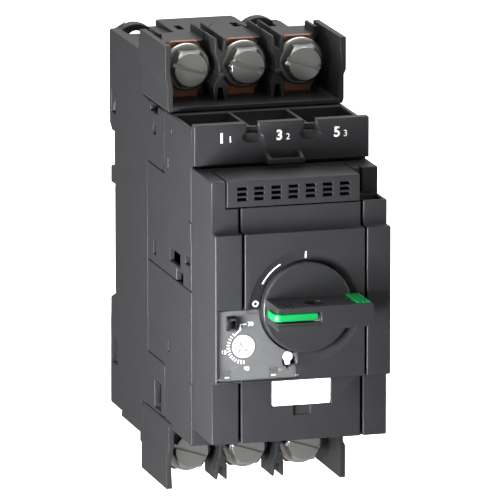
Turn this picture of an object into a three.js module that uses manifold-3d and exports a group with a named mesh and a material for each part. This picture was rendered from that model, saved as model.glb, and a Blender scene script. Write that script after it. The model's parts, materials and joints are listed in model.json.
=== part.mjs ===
// Motor protection breaker, three poles, for a 35 mm rail.
// Millimetres. X runs right, Y runs back towards the rail, Z runs up.
// The origin is the centre of the rail seat's floor, which is the plane Y = 0.

import * as THREE from 'three';
import { mergeVertices } from 'three/addons/utils/BufferGeometryUtils.js';
import Module from 'manifold-3d';

const wasm = await Module();
wasm.setup();

// ---------------------------------------------------------------- driving sizes

const POLE_PITCH = 18.1;
const POLES = [-POLE_PITCH, 0, POLE_PITCH];
const CASE_EDGE = 0.35; // what the casing adds beside the outer poles
const HALF = (POLES.length * POLE_PITCH) / 2 + CASE_EDGE;
const TOP = 72.7; // the top of the line side's terminal walls
const MIRROR_SUM = 6.8; // the load side is the line side mirrored: z becomes MIRROR_SUM - z
const MID_FRONT = -89.2; // where the middle casing ends and the front casing starts
const WALL = 2;
const SEAM = 0.3;

const mirrorZ = (z) => MIRROR_SUM - z;
const BOTTOM = mirrorZ(TOP);

const RAIL = { width: 35, play: 0.4, lip: 0.8, lipGap: 1.4, relief: 0.25 };
const SEAT_HALF = RAIL.width / 2 + RAIL.play / 2;

// Depths of the stacked casings, from the rail seat forward.
const DEPTH = {
  pad: 6.5, blockBack: -34.8, base: -38.5, ear: -58.2, block: -64.5, mid: MID_FRONT,
  strip: MID_FRONT - 4, steps: MID_FRONT - 23.2, plate: MID_FRONT - 27.4,
};

// Heights of the casings.
const HEIGHT = {
  roof: TOP - 2.7, baseTop: TOP - 7.4, blockFloor: TOP - 19.2, stripTop: TOP - 19.1,
  blockUnder: TOP - 20.6, caseTop: TOP - 20.9, stripLow: TOP - 31.7, coverTop: TOP - 32.7,
  ventLow: TOP - 40.8, earTop: 32.4, plateTop: 24.4, split: 1.4, plateLow: -21.4, earLow: -28,
  frontLow: BOTTOM + 24.9, midLow: BOTTOM + 19.3, padLow: BOTTOM + 11.6, baseLow: BOTTOM + 9.8,
};

const SHELL_HALF = HALF - WALL;
const POLE_ROOM = SHELL_HALF - POLE_PITCH - SEAM;
const CAVITY_TOP = HEIGHT.caseTop - 2.3;
const CAVITY_LOW = mirrorZ(CAVITY_TOP);
const LOW_EAR = mirrorZ(HEIGHT.caseTop);

// The rotary handle: a disc, the dished ring round it and the bar across it.
const KNOB = { x: 0.9, z: 1.1, r: 14, face: DEPTH.plate - 1.8, gap: 0.35 };
const RING_R = KNOB.r + 3.8;
const BAR = { left: KNOB.r - 0.8, right: KNOB.r + 2.9, half: 3.55, front: KNOB.face - 14 };
const COLLAR = { front: DEPTH.plate + 3.6, back: DEPTH.plate + 5 };
const SHAFT_R = 3.5;

// Terminals. The screws are part open, so that a lug fits between washer and plate.
const WASHER = { r: 7.4, bore: 3.4, front: -51.2, back: -49.8, open: 2.1 };
const PLATE = {
  front: WASHER.back + WASHER.open, thick: 2, half: 5.2, neck: 4.3, top: TOP - 2, shoulder: TOP - 16.9,
};
const SCREW = { z: TOP - 9.5, face: -56, under: -51.5, headR: 5.2, flats: 11, shankR: 2.9, slot: 1.2 };

// The setting window, with its scale plate, clear cover, dial and test button.
const WINDOW = { left: 1.4 - HALF, right: -2.5, low: HEIGHT.plateLow + 0.9, top: 1.0, gap: 0.25 };
const WINDOW_RING = KNOB.r + 0.6;
const DIAL = { x: KNOB.x - KNOB.r - 5.1, z: -10.3, r: 3.6, face: DEPTH.plate + 1.2 };
const TEST = { x: -4.5, z: -15.3, r: 1.6, face: DEPTH.plate + 1.2 };

// The trip bar and the lever on it that the test button's foot pushes.
const TRIP = { y: -82, z: -12, r: 1.5, leverFront: -84.9, leverLow: -22.9, footGap: 0.7 };

// ---------------------------------------------------------------- shape helpers

function toSolid(geometry) {
  const plain = geometry.index ? geometry.toNonIndexed() : geometry.clone();
  plain.deleteAttribute('normal');
  plain.deleteAttribute('uv');
  const merged = mergeVertices(plain, 1e-4);
  const position = merged.getAttribute('position');
  const triangles = [];
  const index = merged.index.array;
  let volume = 0;
  const [a, b, c] = [new THREE.Vector3(), new THREE.Vector3(), new THREE.Vector3()];
  for (let i = 0; i < index.length; i += 3) {
    const [p, q, r] = [index[i], index[i + 1], index[i + 2]];
    if (p === q || q === r || r === p) continue;
    triangles.push(p, q, r);
    a.fromBufferAttribute(position, p);
    b.fromBufferAttribute(position, q);
    c.fromBufferAttribute(position, r);
    volume += a.dot(b.cross(c));
  }
  if (volume < 0) triangles.reverse();
  return new wasm.Manifold(new wasm.Mesh({
    numProp: 3,
    vertProperties: new Float32Array(position.array),
    triVerts: new Uint32Array(triangles),
  }));
}

function box(x0, x1, y0, y1, z0, z1) {
  const geometry = new THREE.BoxGeometry(Math.abs(x1 - x0), Math.abs(y1 - y0), Math.abs(z1 - z0));
  geometry.translate((x0 + x1) / 2, (y0 + y1) / 2, (z0 + z1) / 2);
  return toSolid(geometry);
}

function extrude(points, depth, basis) {
  const shape = points instanceof THREE.Shape
    ? points
    : new THREE.Shape(points.map(([u, v]) => new THREE.Vector2(u, v)));
  const geometry = new THREE.ExtrudeGeometry(shape, { depth, bevelEnabled: false, curveSegments: 12 });
  geometry.applyMatrix4(basis);
  return toSolid(geometry);
}

const AXIS = {
  x: new THREE.Vector3(1, 0, 0),
  y: new THREE.Vector3(0, 1, 0),
  z: new THREE.Vector3(0, 0, 1),
};

// Points are (y, z); the prism runs from x0 to x1.
function prismX(points, x0, x1) {
  const basis = new THREE.Matrix4().makeBasis(AXIS.y, AXIS.z, AXIS.x).setPosition(x0, 0, 0);
  return extrude(points, x1 - x0, basis);
}

// Points are (x, z); the prism runs from y0, the front, back to y1.
function prismY(points, y0, y1) {
  const back = AXIS.y.clone().negate();
  const basis = new THREE.Matrix4().makeBasis(AXIS.x, AXIS.z, back).setPosition(0, y1, 0);
  return extrude(points, y1 - y0, basis);
}

function rodY(x, z, r, y0, y1, sides = 24) {
  const geometry = new THREE.CylinderGeometry(r, r, Math.abs(y1 - y0), sides);
  geometry.translate(x, (y0 + y1) / 2, z);
  return toSolid(geometry);
}

function rodX(y, z, r, x0, x1, sides = 16) {
  const geometry = new THREE.CylinderGeometry(r, r, Math.abs(x1 - x0), sides);
  geometry.rotateZ(Math.PI / 2);
  geometry.translate((x0 + x1) / 2, y, z);
  return toSolid(geometry);
}

function rodZ(x, y, r, z0, z1, sides = 20) {
  const geometry = new THREE.CylinderGeometry(r, r, Math.abs(z1 - z0), sides);
  geometry.rotateX(Math.PI / 2);
  geometry.translate(x, y, (z0 + z1) / 2);
  return toSolid(geometry);
}

// Profile points are (radius, y), turned about a line along Y.
function turnY(x, z, profile, sides = 32) {
  const points = profile.map(([r, y]) => new THREE.Vector2(r, y));
  const geometry = new THREE.LatheGeometry(points, sides);
  geometry.translate(x, 0, z);
  return toSolid(geometry);
}

// Profile points are (radius, z), turned about a line along Z.
function turnZ(x, y, profile, sides = 24) {
  const points = profile.map(([r, z]) => new THREE.Vector2(r, z));
  const geometry = new THREE.LatheGeometry(points, sides);
  geometry.rotateX(Math.PI / 2);
  geometry.translate(x, y, 0);
  return toSolid(geometry);
}

function join(first, ...rest) {
  return rest.reduce((whole, piece) => whole.add(piece), first);
}

function cut(first, ...tools) {
  return tools.reduce((whole, tool) => whole.subtract(tool), first);
}

// The same box on the left and the right of the object.
function bothSides(x0, x1, y0, y1, z0, z1) {
  return join(box(x0, x1, y0, y1, z0, z1), box(-x1, -x0, y0, y1, z0, z1));
}

function flip(points) {
  return points.map(([u, z]) => [u, mirrorZ(z)]);
}

function circlePoints(x, z, r, from, to, steps) {
  return Array.from({ length: steps + 1 }, (_, i) => {
    const angle = from + ((to - from) * i) / steps;
    return [x + r * Math.cos(angle), z + r * Math.sin(angle)];
  });
}

// ---------------------------------------------------------------- materials

function paint(color, roughness, metalness = 0, extra = {}) {
  return { color, roughness, metalness, ...extra };
}

const FINISH = {
  anthracite: paint(0x4a4b50, 0.62),
  panel: paint(0x55565b, 0.6),
  knob: paint(0x3c3d41, 0.5),
  green: paint(0x0a803e, 0.45),
  steel: paint(0x9a9c9e, 0.35, 0.9),
  copper: paint(0x8a5a48, 0.4, 0.9),
  brass: paint(0xb08d57, 0.35, 0.9),
  label: paint(0xf2f2f0, 0.5),
  dial: paint(0xb4b6b8, 0.5),
  clear: paint(0xd8dee2, 0.1, 0, { transparent: true, opacity: 0.3 }),
  black: paint(0x1c1d1f, 0.6),
  bakelite: paint(0x6b4a34, 0.6),
};

const breaker = new THREE.Group();
breaker.name = 'motor_protection_breaker';

function addNode(name, solid, finish) {
  const { numProp, vertProperties, triVerts } = solid.getMesh();
  const geometry = new THREE.BufferGeometry();
  const positions = new Float32Array((vertProperties.length / numProp) * 3);
  for (let i = 0, j = 0; i < vertProperties.length; i += numProp, j += 3) {
    positions.set([vertProperties[i], vertProperties[i + 1], vertProperties[i + 2]], j);
  }
  geometry.setAttribute('position', new THREE.BufferAttribute(positions, 3));
  geometry.setIndex(new THREE.BufferAttribute(new Uint32Array(triVerts), 1));
  geometry.computeVertexNormals();
  const mesh = new THREE.Mesh(geometry, new THREE.MeshStandardMaterial(FINISH[finish]));
  mesh.name = name;
  breaker.add(mesh);
}

// ---------------------------------------------------------------- rear casing

// The spring clip slides in a channel behind the lower edge of the seat.
const CLIP = { half: 9, back: 5.6, front: 1.4, play: 0.35, low: BOTTOM + 4.9 };
const TERMINAL_SLOT = { half: PLATE.neck + 0.4, back: PLATE.front + PLATE.thick + 0.4 };
const SHOULDER = { back: -28.8, front: -34.2, low: BOTTOM + 7, lowFront: -32.3 };
const ROOF = { half: HALF - 2.1, front: -44, low: mirrorZ(HEIGHT.roof - 1.2) };
const LUG = { x: HALF - 7.5, z: HEIGHT.baseTop - 5.4, r: 7.3, hole: 3, front: 2 };
const LUG_HOLE_Z = HEIGHT.baseTop - 3.3;
const RIDGE = { half: 12.6, top: HEIGHT.baseTop + 2.1 };
const DIVIDER_X = POLE_PITCH / 2;

function baseProfile() {
  const { pad, base, ear } = DEPTH;
  const lip = SEAT_HALF - RAIL.lip - RAIL.play / 2;
  const flat = lip - SEAM;
  return [
    [pad, HEIGHT.baseTop], [SHOULDER.back, HEIGHT.baseTop], [SHOULDER.back, HEIGHT.roof],
    [SHOULDER.front, HEIGHT.roof], [SHOULDER.front, HEIGHT.caseTop], [ear, HEIGHT.caseTop],
    [ear, HEIGHT.earTop], [base, HEIGHT.earTop], [base, HEIGHT.earLow], [ear, HEIGHT.earLow],
    [ear, LOW_EAR], [SHOULDER.lowFront, LOW_EAR], [SHOULDER.lowFront, SHOULDER.low],
    [SHOULDER.back, SHOULDER.low], [SHOULDER.back, HEIGHT.baseLow], [-6.4, HEIGHT.baseLow],
    [-6.4, HEIGHT.padLow], [pad, HEIGHT.padLow], [6, -SEAT_HALF - 10.2],
    [5.6, -SEAT_HALF - 2.3], [-RAIL.relief, -SEAT_HALF], [-RAIL.relief, -flat], [0, -flat],
    [0, flat], [-RAIL.relief, flat], [-RAIL.relief, SEAT_HALF],
    [RAIL.lipGap, SEAT_HALF], [RAIL.lipGap, lip], [5, lip],
    [5, SEAT_HALF + 4.5], [0.8, SEAT_HALF + 4.7], [0.8, 33.5], [3.8, 33.5], [pad, 35.6],
  ];
}

function terminalSlots(z0, z1) {
  return POLES.map((x) => box(x - TERMINAL_SLOT.half, x + TERMINAL_SLOT.half,
    PLATE.front - 0.4, TERMINAL_SLOT.back, z0, z1));
}

function roofRibs() {
  const ribs = [];
  const y = [ROOF.front, SHOULDER.back];
  for (const side of [-1, 1]) {
    for (const [from, to] of [[-2, -1.2], [1.2, 2]]) {
      const x = side * DIVIDER_X;
      ribs.push(box(x + from, x + to, ...y, HEIGHT.roof - 1, TOP));
    }
    const edge = side * (ROOF.half - 0.8);
    ribs.push(box(edge - 0.6, edge + 0.6, ROOF.front, SHOULDER.front - 0.2, HEIGHT.roof - 1, TOP));
  }
  return ribs;
}

function rearBase() {
  const outer = join(
    prismX(baseProfile(), -HALF, HALF),
    box(-ROOF.half, ROOF.half, ROOF.front, SHOULDER.front + 1, HEIGHT.caseTop - 1, HEIGHT.roof),
    box(-ROOF.half, ROOF.half, ROOF.front, SHOULDER.lowFront + 1, ROOF.low, LOW_EAR + 1),
    box(-RIDGE.half, RIDGE.half, SHOULDER.back - 1, DEPTH.pad, HEIGHT.baseTop - 1, RIDGE.top),
    rodY(-LUG.x, LUG.z, LUG.r, LUG.front, DEPTH.pad),
    rodY(LUG.x, LUG.z, LUG.r, LUG.front, DEPTH.pad),
    ...roofRibs(),
  );
  const inner = SHELL_HALF;
  const roofInner = ROOF.half - WALL;
  const hollow = join(
    box(-inner, inner, DEPTH.ear - 1, -3, CAVITY_LOW, CAVITY_TOP),
    box(-inner, inner, -26.5, -7, CAVITY_TOP - 1, HEIGHT.baseTop - WALL),
    box(-roofInner, roofInner, ROOF.front + WALL, SHOULDER.back - WALL, CAVITY_TOP - 1,
      HEIGHT.roof - WALL),
    box(-inner, inner, -26.5, -9, HEIGHT.baseLow + WALL, CAVITY_LOW + 1),
    box(-roofInner, roofInner, ROOF.front + WALL, SHOULDER.lowFront + 1 - WALL, ROOF.low + WALL,
      CAVITY_LOW + 1),
  );
  const channel = CLIP.half + CLIP.play;
  const lugCuts = [-LUG.x, LUG.x].flatMap((x) => [
    rodY(x, LUG_HOLE_Z, LUG.hole, LUG.front - 1, DEPTH.pad + 1),
    box(x - 4, x + 4, -4, LUG.front, LUG_HOLE_Z - LUG.hole, HEIGHT.roof),
  ]);
  const vents = [-DIVIDER_X, DIVIDER_X].map((x) => box(x - 1, x + 1, -12, -5.2,
    HEIGHT.baseTop - 5.3, HEIGHT.roof));
  const screwTips = POLES.flatMap((x) => [SCREW.z, mirrorZ(SCREW.z)].map((z) => rodY(x, z,
    WASHER.bore, ROOF.front - 1, ROOF.front + WALL + 1, 24)));
  const sideSlots = [
    [-1, 4.6, 39.2, 46.7], [-1.8, 5.4, -41, -32.4], [-48.8, -45.1, 42, 45.5],
    [-51.1, -42.2, HEIGHT.caseTop - 3, HEIGHT.caseTop - 0.6], [-54, -46, LOW_EAR + 1, LOW_EAR + 10],
  ].map(([y0, y1, z0, z1]) => bothSides(SHELL_HALF - 0.5, HALF + 1, y0, y1, z0, z1));
  return cut(outer, hollow,
    box(-channel, channel, CLIP.front - CLIP.play, DEPTH.pad + 1, CLIP.low, 7.7 - SEAT_HALF),
    ...terminalSlots(CAVITY_TOP - 1, HEIGHT.caseTop + 1),
    ...terminalSlots(LOW_EAR - 1, CAVITY_LOW + 1),
    ...lugCuts, ...vents, ...screwTips, ...sideSlots);
}

// ---------------------------------------------------------------- rail clip

const CLIP_SPRING = { low: -49.5, high: -35, turns: 5, r: 1.9, wire: 0.45 };

function railClip() {
  const { half, front, back, low } = CLIP;
  const lip = -(SEAT_HALF - RAIL.lip - RAIL.play / 2);
  const nose = prismX([[front, lip], [back - 1.2, lip], [back, lip - 2.4], [back, low], [front, low]],
    -half, half);
  return cut(nose,
    box(-3, 3, front - 1, back + 1, CLIP_SPRING.low - 6, CLIP_SPRING.high + SEAM),
    box(-2.6, 2.6, front - 1, back + 1, low + 1.6, low + 3.6));
}

// A post on the casing carries the lower end of the clip's spring.
function clipPost() {
  return box(-2.2, 2.2, CLIP.front - 1, CLIP.back - 0.6, CLIP_SPRING.low - 0.8, CLIP_SPRING.low - SEAM);
}

function clipSpring() {
  const { low, high, turns, r, wire } = CLIP_SPRING;
  const middle = (CLIP.front + CLIP.back) / 2;
  const steps = turns * 10;
  const points = Array.from({ length: steps + 1 }, (_, i) => {
    const angle = (i / 10) * Math.PI * 2;
    const z = low + wire + ((high - low - 2 * wire) * i) / steps;
    return new THREE.Vector3(r * Math.cos(angle), middle + (r - 0.4) * Math.sin(angle), z);
  });
  const path = new THREE.CatmullRomCurve3(points);
  const section = new THREE.Shape(circlePoints(0, 0, wire, 0, Math.PI * 2, 6).slice(0, 6)
    .map(([u, v]) => new THREE.Vector2(u, v)));
  return toSolid(new THREE.ExtrudeGeometry(section, { steps, extrudePath: path, bevelEnabled: false }));
}

// ---------------------------------------------------------------- middle casings

const POCKET = {
  front: DEPTH.mid + 0.8, back: -66.5, floor: HEIGHT.coverTop - 2, half: HALF - 1.4, wall: 0.6,
};
const CHUTE_ROOM = { top: POCKET.floor - 3, back: -65 };
const STRIP_SEAT = DEPTH.mid - 0.7; // the marking strip lies against this face

function sideWindows(list) {
  return list.map(([y0, y1, z0, z1]) => bothSides(SHELL_HALF - 1, HALF + 1, y0, y1, z0, z1));
}

function upperMidCase() {
  const back = DEPTH.base - SEAM;
  const earFront = DEPTH.ear - SEAM;
  const low = HEIGHT.split + SEAM / 2;
  const outer = prismX([
    [back, low], [back, HEIGHT.earTop - SEAM], [earFront, HEIGHT.earTop - SEAM],
    [earFront, HEIGHT.caseTop], [STRIP_SEAT, HEIGHT.caseTop], [STRIP_SEAT, HEIGHT.coverTop + SEAM],
    [DEPTH.mid, HEIGHT.coverTop + SEAM], [DEPTH.mid, low],
  ], -HALF, HALF);
  const edges = [-POCKET.half, -DIVIDER_X - POCKET.wall, -DIVIDER_X + POCKET.wall,
    DIVIDER_X - POCKET.wall, DIVIDER_X + POCKET.wall, POCKET.half];
  const pockets = [0, 2, 4].map((i) => box(edges[i], edges[i + 1], POCKET.front, POCKET.back,
    POCKET.floor, HEIGHT.caseTop + 1));
  return cut(outer,
    box(-SHELL_HALF, SHELL_HALF, DEPTH.mid - 1, back + 1, low - 1, CHUTE_ROOM.top),
    box(-SHELL_HALF, SHELL_HALF, CHUTE_ROOM.back, back + 1, low - 1, CAVITY_TOP),
    ...pockets,
    ...sideWindows([
      [-76.8, -64, 6.1, 10.3], [-87.7, -81.7, 8.8, 11.6], [-80.1, -72.1, 0, 5],
      [-67.3, -66, HEIGHT.caseTop - 6, HEIGHT.caseTop - 4.7], [-63.5, -62.2, 34.6, 37.5],
      [-48.7, -44.8, 4.2, 9],
    ]));
}

function lowerMidCase() {
  const back = DEPTH.base - SEAM;
  const earFront = DEPTH.ear - SEAM;
  const top = HEIGHT.split - SEAM / 2;
  const outer = prismX([
    [back, top], [DEPTH.mid, top], [DEPTH.mid, HEIGHT.midLow], [-67, HEIGHT.midLow],
    [-67, LOW_EAR], [earFront, LOW_EAR], [earFront, HEIGHT.earLow + SEAM],
    [back, HEIGHT.earLow + SEAM],
  ], -HALF, HALF);
  return cut(outer,
    box(-SHELL_HALF, SHELL_HALF, DEPTH.mid - 1, back + 1, CAVITY_LOW, top + 1),
    ...sideWindows([[-63.9, -61.5, -22.8, -19.7]]));
}

// ---------------------------------------------------------------- front casing

const COVER = { left: -18.2, right: 19.2, groove: 0.8, thick: 2.8 };
const VENT = { left: -22.6, right: 18.9, back: DEPTH.strip - 0.6, skin: 1.3 };
const NOTCH = { left: VENT.right, back: DEPTH.steps + 9.8, floor: HEIGHT.ventLow - 0.1 };
const SOCKET = { left: 20.4, right: HALF - 1.3, floor: 23.6 };
const FRONT_BACK = DEPTH.mid - SEAM;

// Outline of the setting window: a rectangle cut away round the knob's ring.
function windowOutline(margin) {
  const { left, right, low, top } = WINDOW;
  const r = WINDOW_RING - 2 * margin;
  const highAngle = Math.PI - Math.asin((top + margin - KNOB.z) / r);
  const rightAngle = Math.PI + Math.acos((KNOB.x - (right + margin)) / r);
  const arc = circlePoints(KNOB.x, KNOB.z, r, highAngle, rightAngle, 14);
  return [
    [left - margin, low - margin], [left - margin, top + margin], ...arc,
    [right + margin, low - margin],
  ].reverse();
}

function windowCut() {
  return prismY(windowOutline(WINDOW.gap), DEPTH.plate - 1, DEPTH.steps + 1.5);
}

function frontProfile() {
  return [
    [FRONT_BACK, HEIGHT.coverTop], [DEPTH.steps, HEIGHT.coverTop],
    [DEPTH.steps, HEIGHT.plateTop], [DEPTH.plate, HEIGHT.plateTop],
    [DEPTH.plate, HEIGHT.plateLow], [DEPTH.steps, HEIGHT.plateLow],
    [DEPTH.steps, HEIGHT.frontLow], [FRONT_BACK, HEIGHT.frontLow],
  ];
}

const HINGE = { y: DEPTH.plate + 0.45, z: WINDOW.low + 0.6, pin: 0.35, reach: 0.8 };

function frontCase() {
  const inner = SHELL_HALF;
  const low = HEIGHT.frontLow + 2.5;
  const [deep, skin] = [DEPTH.mid - 9.8, DEPTH.steps + 2.2];
  const { left, right, groove } = COVER;
  return cut(prismX(frontProfile(), -HALF, HALF),
    box(-inner, inner, deep - 1, FRONT_BACK + 1, low, HEIGHT.coverTop - 2.5),
    box(-inner, 17.4, skin, deep, low, HEIGHT.ventLow - 2.3),
    box(17, inner, skin, deep, low, 21.5),
    box(-inner, inner, DEPTH.plate + 2.5, skin + 1.2, HEIGHT.plateLow + 2.4, HEIGHT.plateTop - 2.4),
    box(left - groove, right + groove, DEPTH.plate - 1, skin + 0.9,
      HEIGHT.frontLow - 1, HEIGHT.ventLow - 0.01),
    box(VENT.left - SEAM, VENT.right + SEAM, DEPTH.steps - 1, VENT.back + SEAM,
      HEIGHT.ventLow - SEAM, HEIGHT.coverTop + 1),
    box(-18, 14, DEPTH.steps + 4.4, deep + 1, HEIGHT.ventLow - 2.9, HEIGHT.ventLow),
    box(NOTCH.left, HALF + 1, DEPTH.steps - 1, NOTCH.back, NOTCH.floor, HEIGHT.coverTop + 1),
    box(SOCKET.left, SOCKET.right, DEPTH.steps + 1, NOTCH.back - 0.8, SOCKET.floor, NOTCH.floor + 1),
    box(21.7, 22.4, NOTCH.back - 1, NOTCH.back + 2.6, NOTCH.floor + 0.6, HEIGHT.coverTop + 1),
    rodX(HINGE.y, HINGE.z, HINGE.pin + 0.2, WINDOW.left - HINGE.reach - 0.2, WINDOW.left, 12),
    windowCut(),
    ...[[16.9, 23], [-32.9, -27]].map(([z0, z1]) =>
      bothSides(HALF - 0.6, HALF + 1, DEPTH.mid - 6.7, DEPTH.mid - 6.1, z0, z1)));
}

function frontCover() {
  const { left, right, thick } = COVER;
  const stepBack = DEPTH.steps + thick;
  const plateBack = DEPTH.plate + thick;
  const sheet = prismX([
    [DEPTH.steps, HEIGHT.ventLow - SEAM], [DEPTH.steps, HEIGHT.plateTop],
    [DEPTH.plate, HEIGHT.plateTop], [DEPTH.plate, HEIGHT.plateLow],
    [DEPTH.steps, HEIGHT.plateLow], [DEPTH.steps, HEIGHT.frontLow],
    [stepBack, HEIGHT.frontLow], [stepBack, HEIGHT.plateLow + thick],
    [plateBack, HEIGHT.plateLow + thick], [plateBack, HEIGHT.plateTop - thick],
    [stepBack, HEIGHT.plateTop - thick], [stepBack, HEIGHT.ventLow - SEAM],
  ], left, right);
  const hole = KNOB.r + KNOB.gap;
  const dish = turnY(KNOB.x, KNOB.z, [
    [0, DEPTH.plate - 1], [RING_R, DEPTH.plate - 1], [RING_R, DEPTH.plate],
    [RING_R - 0.2, DEPTH.plate + 0.3], [hole, DEPTH.plate + 0.9], [hole, plateBack + 1],
    [0, plateBack + 1],
  ], 48);
  return cut(sheet, dish, windowCut(),
    box(LABEL.left - 0.25, LABEL.right + 0.25, DEPTH.steps - 1, LABEL.back,
      LABEL.low - 0.25, LABEL.top + 0.25),
    box(-1.8, 3.3, DEPTH.steps - 1, LABEL.back, -33.1, LABEL.low + 1),
    rodX(HINGE.y, HINGE.z, HINGE.pin + 0.2, WINDOW.right, WINDOW.right + HINGE.reach + 0.2, 12));
}

const LABEL = { left: -8.5, right: 9.7, low: -30, top: -21.9, back: DEPTH.steps + 0.9 };

function labelPlate() {
  return box(LABEL.left, LABEL.right, DEPTH.steps - 0.1, LABEL.back - SEAM, LABEL.low, LABEL.top);
}

function ventCover() {
  const { left, right, back, skin } = VENT;
  const shell = cut(
    box(left, right, DEPTH.steps, back, HEIGHT.ventLow, HEIGHT.coverTop),
    box(left + skin, right - skin, DEPTH.steps + skin, back + 1, HEIGHT.ventLow - 1,
      HEIGHT.coverTop - skin),
  );
  const slots = [];
  for (let column = 0; column < 7; column += 1) {
    for (let row = 0; row < 3; row += 1) {
      const x = -19.35 + 5.35 * column;
      const z = HEIGHT.coverTop - 3 - 1.62 * row;
      slots.push(box(x, x + 3, DEPTH.steps - 1, DEPTH.steps + skin + 1, z, z + 0.95));
    }
  }
  return cut(shell, ...slots);
}

function markingStrip() {
  const back = STRIP_SEAT - SEAM;
  const { strip } = DEPTH;
  const foot = HEIGHT.stripLow + 0.3;
  const scoopZ = HEIGHT.stripTop - 4.4;
  const plate = box(-HALF, HALF, strip, back, HEIGHT.stripLow, HEIGHT.stripTop);
  const arm = [[strip + 1, foot], [strip - 4.8, foot], [strip - 4.8, foot + 1.8],
    [strip - 1.4, foot + 3.4], [strip + 1, foot + 3.4]];
  const bracket = join(
    prismX(arm, -5.8, -4.5), prismX(arm, 4.5, 5.8),
    box(-5.8, 5.8, strip - 4.8, strip - 3.4, foot, foot + 1.8));
  const scoops = [-DIVIDER_X, DIVIDER_X].flatMap((x) => [
    box(x - 1.95, x + 1.95, strip - 1, back + 1, scoopZ + 0.8, HEIGHT.stripTop + 1),
    prismY(circlePoints(0, 0, 1, 0, Math.PI * 2, 20).slice(0, 20)
      .map(([u, v]) => [x + 3.5 * u, scoopZ + 1.8 * v]), strip - 1, strip + 1.4),
  ]);
  return join(cut(plate, ...scoops), bracket);
}

// ---------------------------------------------------------------- setting window

const SCALE = { front: DEPTH.plate + 1.5, back: DEPTH.plate + 3.2 };
const EYELET = { left: -23.1, right: -21.5, low: -4.6, high: -0.9, gap: 0.5 };

// The notch from the button to the panel's edge takes the button's square foot past the panel.
function testNotch(y0, y1, half) {
  return box(TEST.x, WINDOW.right + 1, y0, y1, TEST.z - half, TEST.z + half);
}

function scalePlate() {
  const { front, back } = SCALE;
  const middle = (EYELET.low + EYELET.high) / 2;
  const post = cut(
    box(EYELET.left, EYELET.right, DEPTH.plate - 1.6, back, EYELET.low, EYELET.high),
    rodX(DEPTH.plate - 0.6, middle, 0.55, EYELET.left - 1, EYELET.right + 1, 10));
  return join(cut(prismY(windowOutline(0), front, back),
    rodY(DIAL.x, DIAL.z, DIAL.r + SEAM, front - 1, back + 1, 32),
    rodY(TEST.x, TEST.z, TEST.r + 0.35, front - 1, back + 1, 20),
    box(TEST.x - 0.6, TEST.x + 0.6, front - 1, back + 1, TEST.z - 3, TEST.z),
    testNotch(front - 1, back + 1, 1.2)), post);
}

function settingCover() {
  const [front, back] = [DEPTH.plate, DEPTH.plate + 0.9];
  const { left, right, low, high, gap } = EYELET;
  const pane = cut(prismY(windowOutline(0), front, back),
    box(left - gap, right + gap, front - 1, back + 1, low - gap, high + gap),
    box(-17.5, -13.4, front - 1, front + 0.5, 0, WINDOW.top + 1),
    rodY(TEST.x, TEST.z, TEST.r + 0.5, front - 1, back + 1, 20),
    testNotch(front - 1, back + 1, 1.4));
  const { y, z, pin, reach } = HINGE;
  return join(pane,
    rodX(y, z, pin, WINDOW.left - reach, WINDOW.left + 1, 12),
    rodX(y, z, pin, WINDOW.right - 1, WINDOW.right + reach, 12));
}

function settingDial() {
  const { x, z, r, face } = DIAL;
  const [collar, end] = [SCALE.back + 0.5, face + 11.4];
  const body = turnY(x, z, [
    [0, face], [r - 0.3, face], [r, face + 0.3], [r, collar], [r + 0.9, collar],
    [r + 0.9, collar + 0.7], [1.6, collar + 0.7], [1.6, end], [0, end],
  ], 24);
  const cam = rodY(x + 1, z, 2.2, end - 2, end, 20);
  const slot = toSolid(new THREE.BoxGeometry(5.2, 1.6, 1.1).rotateY(Math.PI / 4)
    .translate(x, face - 0.2, z));
  return cut(join(body, cam), slot);
}

function testButton() {
  const { x, z, r, face } = TEST;
  const foot = TRIP.leverFront - TRIP.footGap;
  const low = TRIP.leverLow + 0.4;
  return join(
    rodY(x, z, r, face, face + 3, 20),
    box(x - 2.6, x + 2.6, face + 2.4, face + 3.8, z - 2.4, z + 0.5),
    box(x - 0.8, x + 0.8, face + 3.4, foot - 1.4, z - 0.7, z + 0.7),
    box(x - 0.8, x + 0.8, foot - 2.6, foot - 1.4, low, z + 0.7),
    box(x - 0.8, x + 0.8, foot - 1.9, foot, low, low + 1.8));
}

// ---------------------------------------------------------------- rotary handle

const TONGUE = {
  half: 1.2, gap: 0.35, left: KNOB.x - BAR.left - 0.7, right: 0.9,
  front: BAR.front + 2, back: BAR.front + 9.8,
};
const GRIP_RIGHT = KNOB.x + BAR.right - 0.9;
const GRIP = { left: GRIP_RIGHT - 4.5, right: GRIP_RIGHT, ribs: 3, depth: 1.1, rise: 0.35 };
const PADLOCK = { x: 0.4, y: BAR.front + 5.8, r: 3.3 };

function barOutline() {
  const { x, z } = KNOB;
  const spread = Math.asin(BAR.half / BAR.right);
  const end = circlePoints(x, z, BAR.right, -spread, spread, 6);
  return [[x - BAR.left, z + BAR.half], [x - BAR.left, z - BAR.half], ...end];
}

function gripOutline(margin) {
  const top = KNOB.z + BAR.half;
  const step = (GRIP.right - GRIP.left) / GRIP.ribs;
  const teeth = [];
  for (let i = 0; i < GRIP.ribs; i += 1) {
    const x = GRIP.left + step * i;
    teeth.push([x + step * 0.15, top + GRIP.rise], [x + step * 0.8, top + GRIP.rise]);
    teeth.push([x + step, top - 0.1]);
  }
  const [left, low] = [GRIP.left - margin, top - GRIP.depth - margin];
  if (margin > 0) {
    const right = KNOB.x + BAR.right + 1;
    return [[left, low], [right, low], [right, top + 1], [left, top + 1]];
  }
  return [[left, low], [left, top - 0.1], ...teeth, [GRIP.right, low]].reverse();
}

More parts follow.
